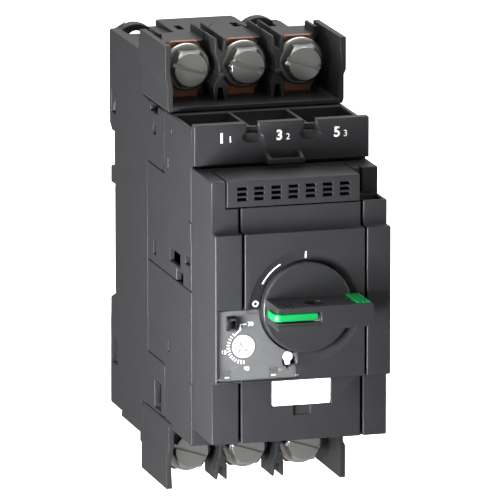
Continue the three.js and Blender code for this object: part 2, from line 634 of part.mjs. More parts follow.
function handleKnob() {
  const { x, z, r, face } = KNOB;
  const disc = turnY(x, z, [
    [0, face], [r - 0.5, face], [r, face + 0.5], [r, COLLAR.front], [r + 1, COLLAR.front],
    [r + 1, COLLAR.back], [0, COLLAR.back],
  ], 48);
  const bar = prismY(barOutline(), BAR.front, face + 1);
  const end = x - BAR.left - 1;
  const mouth = [[end, z + 1.7], [end, z - 1.7], [1.3, z - 2.3], [1.3, z + 2.3]];
  const slot = TONGUE.half + TONGUE.gap;
  return cut(join(disc, bar),
    prismY(mouth, BAR.front - 1, BAR.front + 1.2),
    box(end, TONGUE.right + TONGUE.gap, BAR.front - 1, TONGUE.back + TONGUE.gap,
      z - slot, z + slot),
    rodZ(PADLOCK.x, PADLOCK.y, PADLOCK.r, z - 6, z + 6, 28),
    prismY(gripOutline(0.3), BAR.front + 0.9, face - 0.6));
}

function padlockTongue() {
  const { left, right, front, back, half } = TONGUE;
  return box(left, right, front, back, KNOB.z - half, KNOB.z + half);
}

function handleGrip() {
  return prismY(gripOutline(0), BAR.front + 1.2, KNOB.face - 0.9);
}

function handleShaft() {
  const { x, z } = KNOB;
  const end = DEPTH.mid - 1.8;
  return join(rodY(x, z, SHAFT_R, COLLAR.back + SEAM, end, 24),
    box(x - 7.5, x + SHAFT_R - 0.5, end - 2.5, end, z - 2.5, z + 2.5));
}

// ---------------------------------------------------------------- terminal blocks

function wallOutline(side) {
  const [floor, low] = [HEIGHT.blockFloor, HEIGHT.blockUnder];
  const points = [
    [HALF - 1.3, low], [HALF, low], [HALF + 0.5, floor], [HALF + 0.5, floor + 7.5],
    [HALF + 1.2, floor + 9], [HALF + 1.2, TOP], [HALF - 0.8, TOP], [HALF - 0.4, floor + 11],
    [HALF - 1.3, floor + 6],
  ].map(([x, z]) => [side * x, z]);
  return side > 0 ? points : points.reverse();
}

// One divider is a pair of thin legs joined at the waist, open at the top and the foot.
function dividerOutline(x) {
  const floor = HEIGHT.blockFloor;
  const outer = [[2.1, floor - 0.5], [2.3, floor + 4.6], [0.9, floor + 7.1], [0.6, floor + 9.3],
    [0.8, floor + 12.1], [1.9, floor + 14.6], [1.9, TOP]];
  const inner = [[1.2, TOP], [0.55, floor + 15.2]];
  const foot = [[0.7, floor + 4], [1.3, floor - 0.5]];
  const right = [...outer, ...inner].map(([u, v]) => [x + u, v]);
  const left = [...outer, ...inner].reverse().map(([u, v]) => [x - u, v]);
  return [...right, ...left, ...[...foot].reverse().map(([u, v]) => [x - u, v]),
    ...foot.map(([u, v]) => [x + u, v])];
}

function terminalBlock(place) {
  const back = ROOF.front - 0.4;
  const edge = HALF - 0.5;
  const floor = [[-edge, HEIGHT.blockUnder], [edge, HEIGHT.blockUnder], [edge, HEIGHT.blockFloor],
    [-edge, HEIGHT.blockFloor]];
  const waist = place([[0, HEIGHT.blockFloor + 8]])[0][1];
  const body = join(
    prismY(place(floor), DEPTH.block, back),
    prismY(place(wallOutline(1)), DEPTH.block, DEPTH.blockBack),
    prismY(place(wallOutline(-1)), DEPTH.block, DEPTH.blockBack),
    ...[-DIVIDER_X, DIVIDER_X].map((x) => prismY(place(dividerOutline(x)), -57, back)),
    ...[-DIVIDER_X, DIVIDER_X].map((x) => rodY(x, waist, 1, -58.5, -50, 12)));
  const [low, high] = [HEIGHT.blockUnder - 1, HEIGHT.blockFloor + 1].map((z) => place([[0, z]])[0][1]);
  return cut(body, ...terminalSlots(Math.min(low, high), Math.max(low, high)));
}

// ---------------------------------------------------------------- terminals

const CONTACT = { arm: 20, tab: 10, front: -62, pad: 0.8 };

function terminal(x, place) {
  const { front, thick, half, neck, top, shoulder } = PLATE;
  const z = (value) => place([[0, value]])[0][1];
  const slab = (x0, x1, y0, y1, z0, z1) =>
    box(x0, x1, y0, y1, Math.min(z(z0), z(z1)), Math.max(z(z0), z(z1)));
  const outline = [[-neck, CONTACT.arm - thick], [neck, CONTACT.arm - thick], [neck, shoulder - 0.9],
    [half, shoulder], [half, top - 1.3], [half - 1.3, top], [1.3 - half, top], [-half, top - 1.3],
    [-half, shoulder], [-neck, shoulder - 0.9]].map(([u, v]) => [x + u, v]);
  return cut(join(
    prismY(place(outline), front, front + thick),
    slab(x - 4.6, x + 4.6, front + thick - 0.1, ROOF.front - 0.6, SCREW.z - 4.6, SCREW.z + 4.6),
    slab(x - neck, x + neck, CONTACT.front, front + 1, CONTACT.arm - thick, CONTACT.arm),
    slab(x - neck, x + neck, CONTACT.front, CONTACT.front + thick, CONTACT.tab, CONTACT.arm - 1),
    slab(x - 2.6, x + 2.6, CONTACT.front - CONTACT.pad, CONTACT.front + 0.5, 11, 16)),
  rodY(x, z(SCREW.z), WASHER.bore, front - 1, ROOF.front, 24));
}

function terminalScrew(x, z) {
  const { face, under, headR, shankR, slot } = SCREW;
  const hex = circlePoints(x, z, SCREW.flats / Math.sqrt(3), 0, Math.PI * 2, 6).slice(0, 6);
  const head = prismY(hex, face, under).intersect(turnY(x, z, [
    [0, face], [headR, face], [7, face + 1.4], [7, under], [0, under],
  ], 32));
  const groove = toSolid(new THREE.BoxGeometry(14, 3, slot).rotateY((18 * Math.PI) / 180)
    .translate(x, face, z));
  return cut(join(head, rodY(x, z, shankR, under - 1, ROOF.front - 0.9, 24)), groove);
}

function washer(x, z) {
  const { r, bore, front, back } = WASHER;
  return turnY(x, z, [
    [bore, front], [r - 0.4, front], [r, front + 0.4], [r, back], [bore, back], [bore, front],
  ], 32);
}

// ---------------------------------------------------------------- contact system

const BRIDGE = { front: -69, back: -67.2, half: 4 };
const CARRIER = { low: -2, high: 9, front: -80, back: -74, half: SHELL_HALF - 1 };

function contactCarrier() {
  const { low, high, front, back } = CARRIER;
  const middle = (low + high) / 2;
  const fingers = POLES.flatMap((x) => [
    box(x - 3.2, x + 3.2, back - 1, BRIDGE.front - SEAM, low + 1, high - 1),
    rodY(x, middle, 1.2, BRIDGE.front - 1, -65.5, 12),
  ]);
  return join(box(-CARRIER.half, CARRIER.half, front, back, low, high), ...fingers,
    box(-3, 5, DEPTH.mid - 0.8, front + 1, low, 5));
}

function movingContact(x) {
  const middle = (CARRIER.low + CARRIER.high) / 2;
  const { front, back, half } = BRIDGE;
  return cut(box(x - half, x + half, front, back, mirrorZ(16.3), 16.3),
    rodY(x, middle, 1.5, front - 1, back + 1, 16));
}

function arcChute(x) {
  const [front, back, low, high] = [-84, -65.6, 21.4, 34.4];
  const half = POLE_ROOM - 0.3;
  const plates = [];
  for (let i = 0; i < 6; i += 1) {
    const z = low + 0.4 + i * 2.2;
    plates.push(box(x - half + 0.2, x + half - 0.2, front, back, z, z + 1));
  }
  return join(box(x - half, x - half + 1, front + 1, back - 1, low, high - 0.6),
    box(x + half - 1, x + half, front + 1, back - 1, low, high - 0.6), ...plates);
}

const COIL = { y: -72, r: POLE_ROOM - 0.7, bore: 3.3, low: -38, high: -18 };

function magneticCoil(x) {
  const { y, r, bore, low, high } = COIL;
  const profile = [[bore, low], [r + 0.6, low], [r + 0.6, low + 1]];
  const turns = 4;
  const pitch = (high - low - 2) / turns;
  for (let i = 0; i < turns; i += 1) {
    const z = low + 1 + pitch * i;
    profile.push([r - 0.9, z], [r, z + pitch * 0.3], [r, z + pitch * 0.7], [r - 0.9, z + pitch]);
  }
  profile.push([r + 0.6, high - 1], [r + 0.6, high], [bore, high], [bore, low]);
  return turnZ(x, y, profile, 14);
}

function coilPlunger(x) {
  return join(rodZ(x, COIL.y, 2.9, -36, -17, 16), rodZ(x, COIL.y, 1, -18, -13.6, 12));
}

function bimetalStrip(x) {
  return prismX([[-86.8, -40], [-86, -40], [-86, -36], [-84.8, -36], [-84.8, -35.2], [-86, -35.2],
    [-86, -14], [-86.8, -14]], x - 3, x + 3);
}

function tripBar() {
  const fingers = POLES.map((x) => prismX([
    [TRIP.y, TRIP.z], [TRIP.y + 2, TRIP.z + 3.6], [-72, TRIP.z + 3.6], [-72, TRIP.z + 2.4],
    [TRIP.y + 2.4, TRIP.z + 2.4], [TRIP.y + 1.2, TRIP.z],
  ], x - 1.5, x + 1.5));
  const { leverFront, leverLow } = TRIP;
  const half = SHELL_HALF - 1;
  return join(rodX(TRIP.y, TRIP.z, TRIP.r, -half, half, 16), ...fingers,
    box(TEST.x - 1, TEST.x + 1, leverFront, leverFront + 1.3, leverLow, TRIP.z + 0.5),
    box(TEST.x - 1, TEST.x + 1, leverFront, TRIP.y, TRIP.z - 1, TRIP.z + 1));
}

function mechanismFrame() {
  const { x, z } = KNOB;
  const [face, sheet, half] = [DEPTH.steps + 3.8, 1.4, 12];
  const front = box(x - half, x + half, face, face + sheet, z - 13, z + 17);
  const sides = [-half, half - sheet].map((u) => box(x + u, x + u + sheet, face + 0.6,
    DEPTH.mid - 1.3, z - 13, z + 17));
  return cut(join(front, ...sides), rodY(x, z, SHAFT_R + 0.4, face - 1, face + sheet + 1, 28));
}

// ---------------------------------------------------------------- assembly

const upright = (points) => points;

addNode('rear_base', join(rearBase(), clipPost()), 'anthracite');
addNode('upper_mid_case', upperMidCase(), 'anthracite');
addNode('lower_mid_case', lowerMidCase(), 'anthracite');
addNode('front_case', frontCase(), 'anthracite');
addNode('front_cover', frontCover(), 'anthracite');
addNode('vent_cover', ventCover(), 'anthracite');
addNode('marking_strip', markingStrip(), 'anthracite');
addNode('upper_terminal_block', terminalBlock(upright), 'anthracite');
addNode('lower_terminal_block', terminalBlock((points) => flip(points).reverse()), 'anthracite');
addNode('label_plate', labelPlate(), 'label');
addNode('scale_plate', scalePlate(), 'panel');
addNode('setting_cover', settingCover(), 'clear');
addNode('setting_dial', settingDial(), 'dial');
addNode('test_button', testButton(), 'dial');
addNode('handle_knob', handleKnob(), 'knob');
addNode('handle_grip', handleGrip(), 'green');
addNode('padlock_tongue', padlockTongue(), 'green');
addNode('handle_shaft', handleShaft(), 'steel');
addNode('mechanism_frame', mechanismFrame(), 'steel');
addNode('contact_carrier', contactCarrier(), 'bakelite');
addNode('trip_bar', tripBar(), 'bakelite');
addNode('rail_clip', railClip(), 'black');
addNode('rail_clip_spring', clipSpring(), 'steel');

POLES.forEach((x, i) => {
  const pole = i + 1;
  const low = (points) => flip(points).reverse();
  addNode(`line_terminal_${pole}`, terminal(x, upright), 'copper');
  addNode(`load_terminal_${pole}`, terminal(x, low), 'copper');
  addNode(`line_screw_${pole}`, terminalScrew(x, SCREW.z), 'steel');
  addNode(`load_screw_${pole}`, terminalScrew(x, mirrorZ(SCREW.z)), 'steel');
  addNode(`line_washer_${pole}`, washer(x, SCREW.z), 'steel');
  addNode(`load_washer_${pole}`, washer(x, mirrorZ(SCREW.z)), 'steel');
  addNode(`moving_contact_${pole}`, movingContact(x), 'copper');
  addNode(`arc_chute_${pole}`, arcChute(x), 'steel');
  addNode(`magnetic_coil_${pole}`, magneticCoil(x), 'copper');
  addNode(`coil_plunger_${pole}`, coilPlunger(x), 'steel');
  addNode(`bimetal_strip_${pole}`, bimetalStrip(x), 'brass');
});

export default breaker;
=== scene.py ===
"""Looks of a three-pole motor protection breaker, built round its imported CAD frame.

The axes are the frame's: X runs right, Y runs back towards the rail and Z runs up. Sizes that the
classes hold are in millimetres, and Bench turns them into metres as it models.
"""

from __future__ import annotations

import json
import logging
import math
from dataclasses import dataclass, field
from enum import Enum
from typing import Callable, Iterable, Sequence

import bmesh
import bpy
from mathutils import Matrix, Vector

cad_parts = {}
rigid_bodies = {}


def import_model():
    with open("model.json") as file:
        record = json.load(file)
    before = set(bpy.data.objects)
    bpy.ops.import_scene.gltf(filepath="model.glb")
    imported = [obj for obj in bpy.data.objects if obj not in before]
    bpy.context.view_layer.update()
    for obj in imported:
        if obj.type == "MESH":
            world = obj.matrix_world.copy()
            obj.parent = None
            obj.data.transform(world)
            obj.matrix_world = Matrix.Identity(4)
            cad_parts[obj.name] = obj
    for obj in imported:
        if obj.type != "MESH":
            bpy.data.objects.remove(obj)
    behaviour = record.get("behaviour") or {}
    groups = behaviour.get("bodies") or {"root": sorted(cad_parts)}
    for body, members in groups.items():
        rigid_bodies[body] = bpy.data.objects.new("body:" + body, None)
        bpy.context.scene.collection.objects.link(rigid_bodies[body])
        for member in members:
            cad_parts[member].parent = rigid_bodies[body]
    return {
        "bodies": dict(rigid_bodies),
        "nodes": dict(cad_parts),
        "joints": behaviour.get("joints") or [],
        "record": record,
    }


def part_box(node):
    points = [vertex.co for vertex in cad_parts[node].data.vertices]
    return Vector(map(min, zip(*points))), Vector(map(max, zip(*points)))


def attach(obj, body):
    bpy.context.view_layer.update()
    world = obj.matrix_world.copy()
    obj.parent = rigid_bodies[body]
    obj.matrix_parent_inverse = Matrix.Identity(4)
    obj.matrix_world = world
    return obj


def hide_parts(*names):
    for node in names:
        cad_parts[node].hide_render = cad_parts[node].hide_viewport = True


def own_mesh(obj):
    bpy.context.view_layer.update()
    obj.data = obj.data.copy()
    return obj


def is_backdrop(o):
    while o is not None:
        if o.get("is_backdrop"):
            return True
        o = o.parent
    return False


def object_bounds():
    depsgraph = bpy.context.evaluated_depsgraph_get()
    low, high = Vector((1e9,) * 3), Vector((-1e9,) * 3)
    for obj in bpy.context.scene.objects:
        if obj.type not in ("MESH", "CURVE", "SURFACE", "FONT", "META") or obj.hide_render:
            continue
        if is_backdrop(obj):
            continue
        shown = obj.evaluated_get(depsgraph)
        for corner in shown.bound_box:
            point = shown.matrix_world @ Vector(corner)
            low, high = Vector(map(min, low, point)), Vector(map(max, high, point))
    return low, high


log = logging.getLogger("breaker")

MM = 0.001
Outline = list[tuple[float, float]]
POLES = (1, 2, 3)
CREASE = 31.0  # degrees; copied CAD shapes stay sharp above this angle


def arc(x: float, z: float, radius: float, start: float, end: float, steps: int) -> Outline:
    """Points along an arc.

    Args:
        x: Centre of the arc.
        z: Centre of the arc.
        radius: Radius of the arc.
        start: First angle in degrees, counted from +X towards +Z.
        end: Last angle in degrees.
        steps: How many chords the arc has.

    Returns:
        The points, from the first angle to the last.
    """
    turns = [math.radians(start + (end - start) * i / steps) for i in range(steps + 1)]
    return [(x + radius * math.cos(a), z + radius * math.sin(a)) for a in turns]


# ---------------------------- finishes


class Surface(Enum):
    """What kind of surface a finish is."""

    MOULDED = "moulded"
    METAL = "metal"
    PRINTED = "printed"


@dataclass(frozen=True)
class Finish:
    """One surface finish and the procedural material that shows it.

    Attributes:
        name: What the material is called.
        slot: The record's material slot that it belongs to; not used.
        colour: Linear base colour.
        roughness: Middle of the roughness.
        surface: The kind of surface.
        grain: Size of the fine texture.
        depth: Height of the fine texture.
        cloud: How far the colour drifts over a hand's width, as a share.
        spread: How far the roughness drifts.
        alpha: How opaque the surface is.
        stretch: How much longer the grain is along X than across it.
        sheen: Strength of the reflection that isn't the colour's own, where 0.5 is common plastic.
    """

    name: str
    slot: str
    colour: tuple[float, float, float]
    roughness: float
    surface: Surface = Surface.MOULDED
    grain: float = 0.28
    depth: float = 0.012
    cloud: float = 0.07
    spread: float = 0.05
    alpha: float = 1.0
    stretch: float = 1.0
    sheen: float = 0.5

    def material(self) -> bpy.types.Material:
        """The finish's material, made the first time that it is asked for."""
        made = bpy.data.materials.get(self.name)
        return made if made else self._make()

    def _make(self) -> bpy.types.Material:
        """Builds the node tree.

        Returns:
            The new material.
        """
        material = bpy.data.materials.new(self.name)
        material.use_nodes = True
        tree = material.node_tree
        shader = tree.nodes["Principled BSDF"]
        shader.inputs["Metallic"].default_value = 1.0 if self.surface is Surface.METAL else 0.0
        shader.inputs["Alpha"].default_value = self.alpha
        shader.inputs["Specular IOR Level"].default_value = self.sheen
        place = tree.nodes.new("ShaderNodeTexCoord")
        drawn = tree.nodes.new("ShaderNodeMapping")
        drawn.inputs["Scale"].default_value = (1 / self.stretch, 1, 1)
        tree.links.new(place.outputs["Object"], drawn.inputs["Vector"])
        cloud = self._noise(tree, drawn, size=9.0, detail=3.0)
        fine = self._noise(tree, drawn, size=self.grain, detail=2.0)

        drift = tree.nodes.new("ShaderNodeValToRGB")
        low, high = drift.color_ramp.elements
        low.position, high.position = 0.3, 0.7
        low.color = self._tint(1 - self.cloud)
        high.color = self._tint(1 + self.cloud)
        tree.links.new(cloud.outputs["Fac"], drift.inputs["Fac"])
        tree.links.new(drift.outputs["Color"], shader.inputs["Base Color"])

        wear = tree.nodes.new("ShaderNodeMapRange")
        wear.inputs["To Min"].default_value = max(0.02, self.roughness - self.spread)
        wear.inputs["To Max"].default_value = min(1.0, self.roughness + self.spread)
        tree.links.new(fine.outputs["Fac"], wear.inputs["Value"])
        tree.links.new(wear.outputs["Result"], shader.inputs["Roughness"])

        bump = tree.nodes.new("ShaderNodeBump")
        bump.inputs["Strength"].default_value = 1.0
        bump.inputs["Distance"].default_value = self.depth * MM
        tree.links.new(fine.outputs["Fac"], bump.inputs["Height"])
        tree.links.new(bump.outputs["Normal"], shader.inputs["Normal"])
        return material

    def _tint(self, share: float) -> tuple[float, float, float, float]:
        """The base colour times a share, with full alpha."""
        red, green, blue = (min(1.0, channel * share) for channel in self.colour)
        return (red, green, blue, 1.0)

    @staticmethod
    def _noise(
        tree: bpy.types.NodeTree, place: bpy.types.Node, size: float, detail: float
    ) -> bpy.types.Node:
        """Adds a noise whose spots have a size in millimetres.

        Args:
            tree: The material's nodes.
            place: The node that gives the coordinates.
            size: Size of the spots.
            detail: How many finer layers the noise has.

        Returns:
            The noise node.
        """
        noise = tree.nodes.new("ShaderNodeTexNoise")
        noise.inputs["Scale"].default_value = 1 / (size * MM)
        noise.inputs["Detail"].default_value = detail
        tree.links.new(place.outputs["Vector"], noise.inputs["Vector"])
        return noise


ANTHRACITE = Finish("anthracite_moulding", "anthracite", (0.0135, 0.0137, 0.0152), 0.48, sheen=0.24)
PANEL_GREY = Finish("panel_moulding", "panel", (0.021, 0.0212, 0.0225), 0.45, sheen=0.3)
HANDLE_GREY = Finish(
    "handle_moulding", "handle_grey", (0.0135, 0.0137, 0.015), 0.4, depth=0.006, sheen=0.28
)
GREEN = Finish("green_moulding", "green", (0.002, 0.17, 0.04), 0.36, depth=0.004, sheen=0.3)
LIGHT_GREY = Finish("light_grey_moulding", "light_grey", (0.36, 0.37, 0.37), 0.45, depth=0.005)
LABEL_WHITE = Finish(
    "label_film", "label", (0.9, 0.9, 0.89), 0.4, Surface.PRINTED, cloud=0.02, depth=0.002
)
INK = Finish("white_ink", "label", (0.9, 0.9, 0.9), 0.55, Surface.PRINTED, cloud=0.03, depth=0.002)
CLEAR = Finish(
    "clear_moulding", "clear", (0.8, 0.82, 0.84), 0.12,
    grain=1.5, depth=0.001, alpha=0.03, sheen=0.3,
)
BLACK = Finish("black_moulding", "black", (0.004, 0.004, 0.0045), 0.5, sheen=0.2)
PHENOLIC = Finish("brown_thermoset", "phenolic", (0.1, 0.05, 0.027), 0.5, cloud=0.15)
STEEL = Finish(
    "zinc_plated_steel", "steel", (0.34, 0.34, 0.33), 0.3, Surface.METAL,
    grain=0.12, depth=0.0015, cloud=0.05, spread=0.07,
)
SPRING_STEEL = Finish(
    "spring_steel", "steel", (0.3, 0.3, 0.31), 0.35, Surface.METAL, grain=0.2, depth=0.002
)
COPPER = Finish(
    "dull_copper", "copper", (0.24, 0.11, 0.07), 0.42, Surface.METAL,
    grain=0.2, depth=0.003, cloud=0.18, spread=0.1, stretch=5.0,
)
BIMETAL = Finish(
    "bimetal_strip_metal", "bimetal", (0.4, 0.3, 0.16), 0.38, Surface.METAL, stretch=5.0
)


# ---------------------------- the frame


class Frame:
    """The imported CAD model, read in millimetres."""

    def __init__(self, loaded: dict) -> None:
        """Keeps the loaded nodes and joints.
        """
        self.nodes: dict[str, bpy.types.Object] = loaded["nodes"]
        self.joints: dict[str, dict] = {joint["name"]: joint for joint in loaded["joints"]}

    def low(self, node: str) -> Vector:
        """The lowest corner of a node."""
        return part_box(node)[0] / MM

    def high(self, node: str) -> Vector:
        """The highest corner of a node."""
        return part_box(node)[1] / MM

    def middle(self, node: str) -> Vector:
        """The middle of a node's box."""
        return (self.low(node) + self.high(node)) / 2

    def pivot(self, joint: str) -> Vector:
        """The point that a hinge turns about."""
        return Vector(self.joints[joint]["pos_m"]) / MM

    def dress(self, finish: Finish, nodes: Iterable[str]) -> None:
        """Gives CAD nodes that stay in view a finish.

        Args:
            finish: The finish.
            nodes: Names of the nodes.
        """
        for node in nodes:
            slots = self.nodes[node].data.materials
            slots.clear()
            slots.append(finish.material())


# ---------------------------- modelling


class Bench:
    """Blender's modelling operators, each used on one piece at a time."""

    @staticmethod
    def hold(piece: bpy.types.Object) -> None:
        """Selects a piece alone and makes it active."""
        bpy.ops.object.select_all(action="DESELECT")
        piece.select_set(True)
        bpy.context.view_layer.objects.active = piece

    @staticmethod
    def call(name: str) -> bpy.types.Object:
        """Names the active object and its mesh, and returns it."""
        piece = bpy.context.active_object
        piece.name = name
        piece.data.name = name
        return piece

    @staticmethod
    def chain(points: Sequence[Vector]) -> None:
        """Draws edges through the points and stays in edit mode, with all of them selected."""
        bpy.ops.object.select_all(action="DESELECT")
        bpy.ops.mesh.primitive_plane_add(size=MM)
        bpy.ops.object.mode_set(mode="EDIT")
        bpy.ops.mesh.select_mode(type="VERT")
        bpy.ops.mesh.select_all(action="SELECT")
        bpy.ops.mesh.merge(type="CENTER")
        bpy.ops.transform.translate(value=points[0] * MM)
        for before, after in zip(points, points[1:]):
            step = {"value": (after - before) * MM}
            bpy.ops.mesh.extrude_vertices_move(TRANSFORM_OT_translate=step)
        bpy.ops.mesh.select_all(action="SELECT")

    @staticmethod
    def _close(name: str) -> bpy.types.Object:
        """Merges doubles, turns every face outwards and leaves edit mode."""
        bpy.ops.mesh.select_all(action="SELECT")
        bpy.ops.mesh.remove_doubles(threshold=0.0005 * MM)
        bpy.ops.mesh.normals_make_consistent(inside=False)
        bpy.ops.object.mode_set(mode="OBJECT")
        return Bench.call(name)

    @staticmethod
    def prism(name: str, outline: Sequence[Vector], pull: Vector) -> bpy.types.Object:
        """Fills a flat outline and pulls it out into a solid.

        Args:
            name: The piece's name.
            outline: Corners of the outline, in space.
            pull: How far and which way it is pulled.

        Returns:
            The solid.
        """
        Bench.chain(outline)
        bpy.ops.mesh.edge_face_add()
        bpy.ops.mesh.extrude_region_move(TRANSFORM_OT_translate={"value": pull * MM})
        return Bench._close(name)

    @staticmethod
    def plate(name: str, outline: Outline, front: float, back: float) -> bpy.types.Object:
        """A solid whose outline lies in X and Z, from a front face to a back face along Y."""
        corners = [Vector((x, front, z)) for x, z in outline]
        return Bench.prism(name, corners, Vector((0, back - front, 0)))

    @staticmethod
    def turned(
        name: str, centre: Vector, profile: Sequence[tuple[float, float]], steps: int = 96
    ) -> bpy.types.Object:
        """Spins a profile about a line along Y.

        Args:
            name: The piece's name.
            centre: A point on the line; its Y isn't used.
            profile: Pairs of radius and Y that start and end on the line, or close on themselves.
            steps: How many steps a full turn has.

        Returns:
            The solid.
        """
        Bench.chain([Vector((centre.x + r, y, centre.z)) for r, y in profile])
        bpy.ops.mesh.spin(
            steps=steps, angle=math.tau, axis=(0, 1, 0), center=Vector((centre.x, 0, centre.z)) * MM
        )
        return Bench._close(name)

    @staticmethod
    def block(name: str, low: Vector, high: Vector, turn: float = 0.0) -> bpy.types.Object:
        """A box between two corners, turned about Y through its middle by an angle in degrees."""
        bpy.ops.object.select_all(action="DESELECT")
        bpy.ops.mesh.primitive_cube_add(
            size=1, location=(low + high) * MM / 2, scale=(high - low) * MM,
            rotation=(0, math.radians(turn), 0),
        )
        bpy.ops.object.transform_apply(location=True, rotation=True, scale=True)
        return Bench.call(name)

    @staticmethod
    def combine(
        piece: bpy.types.Object, tool: bpy.types.Object, operation: str = "DIFFERENCE"
    ) -> None:
        """Cuts, joins or keeps what two solids share, and uses up the tool.

        Args:
            piece: The solid that changes.
            tool: The solid that it is combined with.
            operation: The boolean operation.
        """
        Bench.hold(piece)
        change = piece.modifiers.new("combine", "BOOLEAN")
        change.operation = operation
        change.solver = "EXACT"
        change.object = tool
        bpy.ops.object.modifier_apply(modifier=change.name)
        bpy.data.objects.remove(tool)

    @staticmethod
    def soften(piece: bpy.types.Object, width: float, segments: int = 3, angle: float = 32) -> None:
        """Rounds every sharp edge of a piece.

        Args:
            piece: The piece.
            width: Width of the rounding.
            segments: How many faces it has.
            angle: Edges sharper than this are rounded.
        """
        Bench.hold(piece)
        round_off = piece.modifiers.new("round", "BEVEL")
        round_off.width = width * MM
        round_off.segments = segments
        round_off.limit_method = "ANGLE"
        round_off.angle_limit = math.radians(angle)
        bpy.ops.object.modifier_apply(modifier=round_off.name)

    @staticmethod
    def smooth(piece: bpy.types.Object, angle: float = 38) -> None:
        """Smooths what is rounder than an angle, and keeps flat faces flat."""
        Bench.hold(piece)
        bpy.ops.object.shade_smooth_by_angle(angle=math.radians(angle))
        flats = piece.modifiers.new("flats", "WEIGHTED_NORMAL")
        flats.keep_sharp = True
        bpy.ops.object.modifier_apply(modifier=flats.name)

    @staticmethod
    def copy_of(source: bpy.types.Object, name: str) -> bpy.types.Object:
        """A merged copy of a CAD node, with its flat faces divided evenly.

        Args:
            source: The CAD node's object.
            name: The copy's name.

        Returns:
            The copy.
        """
        piece = bpy.data.objects.new(name, source.data.copy())
        bpy.context.scene.collection.objects.link(piece)
        piece.data.materials.clear()
        Bench.hold(piece)
        bpy.ops.object.mode_set(mode="EDIT")
        bpy.ops.mesh.select_all(action="SELECT")
        bpy.ops.mesh.remove_doubles(threshold=0.001 * MM)
        bpy.ops.mesh.dissolve_limited(angle_limit=math.radians(0.6))
        bpy.ops.mesh.quads_convert_to_tris(quad_method="BEAUTY", ngon_method="BEAUTY")
        bpy.ops.object.mode_set(mode="OBJECT")
        piece.data.name = name
        return piece

    @staticmethod
    def round_edges(
        piece: bpy.types.Object, width: float, segments: int = 2,
        allowed: Callable[[Vector], bool] = lambda place: True,
    ) -> None:
        """Rounds the outer edges that have room for it.

        Args:
            piece: The piece.
            width: Width of the rounding.
            segments: How many faces it has.
            allowed: Says whether the edge with its middle at a place may be rounded.
        """
        graph = bmesh.new()
        graph.from_mesh(piece.data)
        room, length = 1.5 * width * MM, 3 * width * MM
        chosen = set()
        for edge in graph.edges:
            if len(edge.link_faces) != 2 or edge.calc_length() < length:
                continue
            if edge.calc_face_angle_signed() < math.radians(30):
                continue
            around = [other.calc_length() for corner in edge.verts for other in corner.link_edges]
            middle = (edge.verts[0].co + edge.verts[1].co) / (2 * MM)
            if min(around) > room and allowed(middle):
                chosen.add(edge.index)
        graph.free()
        mesh = piece.data
        for part in (mesh.polygons, mesh.edges, mesh.vertices):
            part.foreach_set("select", [False] * len(part))
        for index in chosen:
            mesh.edges[index].select = True
        Bench.hold(piece)
        bpy.ops.object.mode_set(mode="EDIT")
        bpy.ops.mesh.select_mode(type="EDGE")
        bpy.ops.mesh.bevel(
            offset=width * MM, segments=segments, affect="EDGES",
            clamp_overlap=False, loop_slide=False,
        )
        bpy.ops.object.mode_set(mode="OBJECT")

    @staticmethod
    def keep_inside(piece: bpy.types.Object, low: Vector, high: Vector) -> None:
        """Moves every corner that a rounding pushed out of a box back onto its face.

        Args:
            piece: The piece.
            low: Lowest corner of the box.
            high: Highest corner of the box.
        """
        for corner in piece.data.vertices:
            for axis in range(3):
                corner.co[axis] = min(max(corner.co[axis], low[axis] * MM), high[axis] * MM)

    @staticmethod
    def fit(
        piece: bpy.types.Object, finish: Finish, body: str = "root", stands_for: Sequence[str] = ()
    ) -> bpy.types.Object:
        """Finishes a piece and puts it on its body.

        Args:
            piece: The piece.
            finish: Its finish.
            body: The CAD body that it rides on.
            stands_for: The CAD nodes that it replaces.

        Returns:
            The piece.
        """
        piece.data.materials.clear()
        piece.data.materials.append(finish.material())
        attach(piece, body)
        if stands_for:
            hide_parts(*stands_for)
        log.info("%s rides on %s with %d faces", piece.name, body, len(piece.data.polygons))
        return piece

    @staticmethod
    def mould(
        piece: bpy.types.Object, width: float, finish: Finish, body: str = "root",
        stands_for: Sequence[str] = (), segments: int = 3,
    ) -> bpy.types.Object:
        """Rounds a new piece's sharp edges, smooths it and puts it on its body.

        Args:
            piece: The piece.
            width: Width of the rounding.
            finish: Its finish.
            body: The CAD body that it rides on.
            stands_for: The CAD nodes that it replaces.
            segments: How many faces the rounding has.

        Returns:
            The piece.
        """
        Bench.soften(piece, width, segments=segments)
        Bench.smooth(piece)
        return Bench.fit(piece, finish, body, stands_for)

    @staticmethod
    def remake(
        frame: Frame, node: str, name: str, width: float, finish: Finish, body: str = "root"
    ) -> bpy.types.Object:
        """Copies a CAD node, rounds its outer edges and lets the copy stand for it.

        Args:
            frame: The loaded frame.
            node: The CAD node.
            name: The copy's name.
            width: Width of the rounding.
            finish: Its finish.
            body: The CAD body that it rides on.

        Returns:
            The copy.
        """
        piece = Bench.copy_of(frame.nodes[node], name)
        Bench.round_edges(piece, width)
        Bench.smooth(piece, angle=CREASE)
        return Bench.fit(piece, finish, body, [node])


# ---------------------------- printing


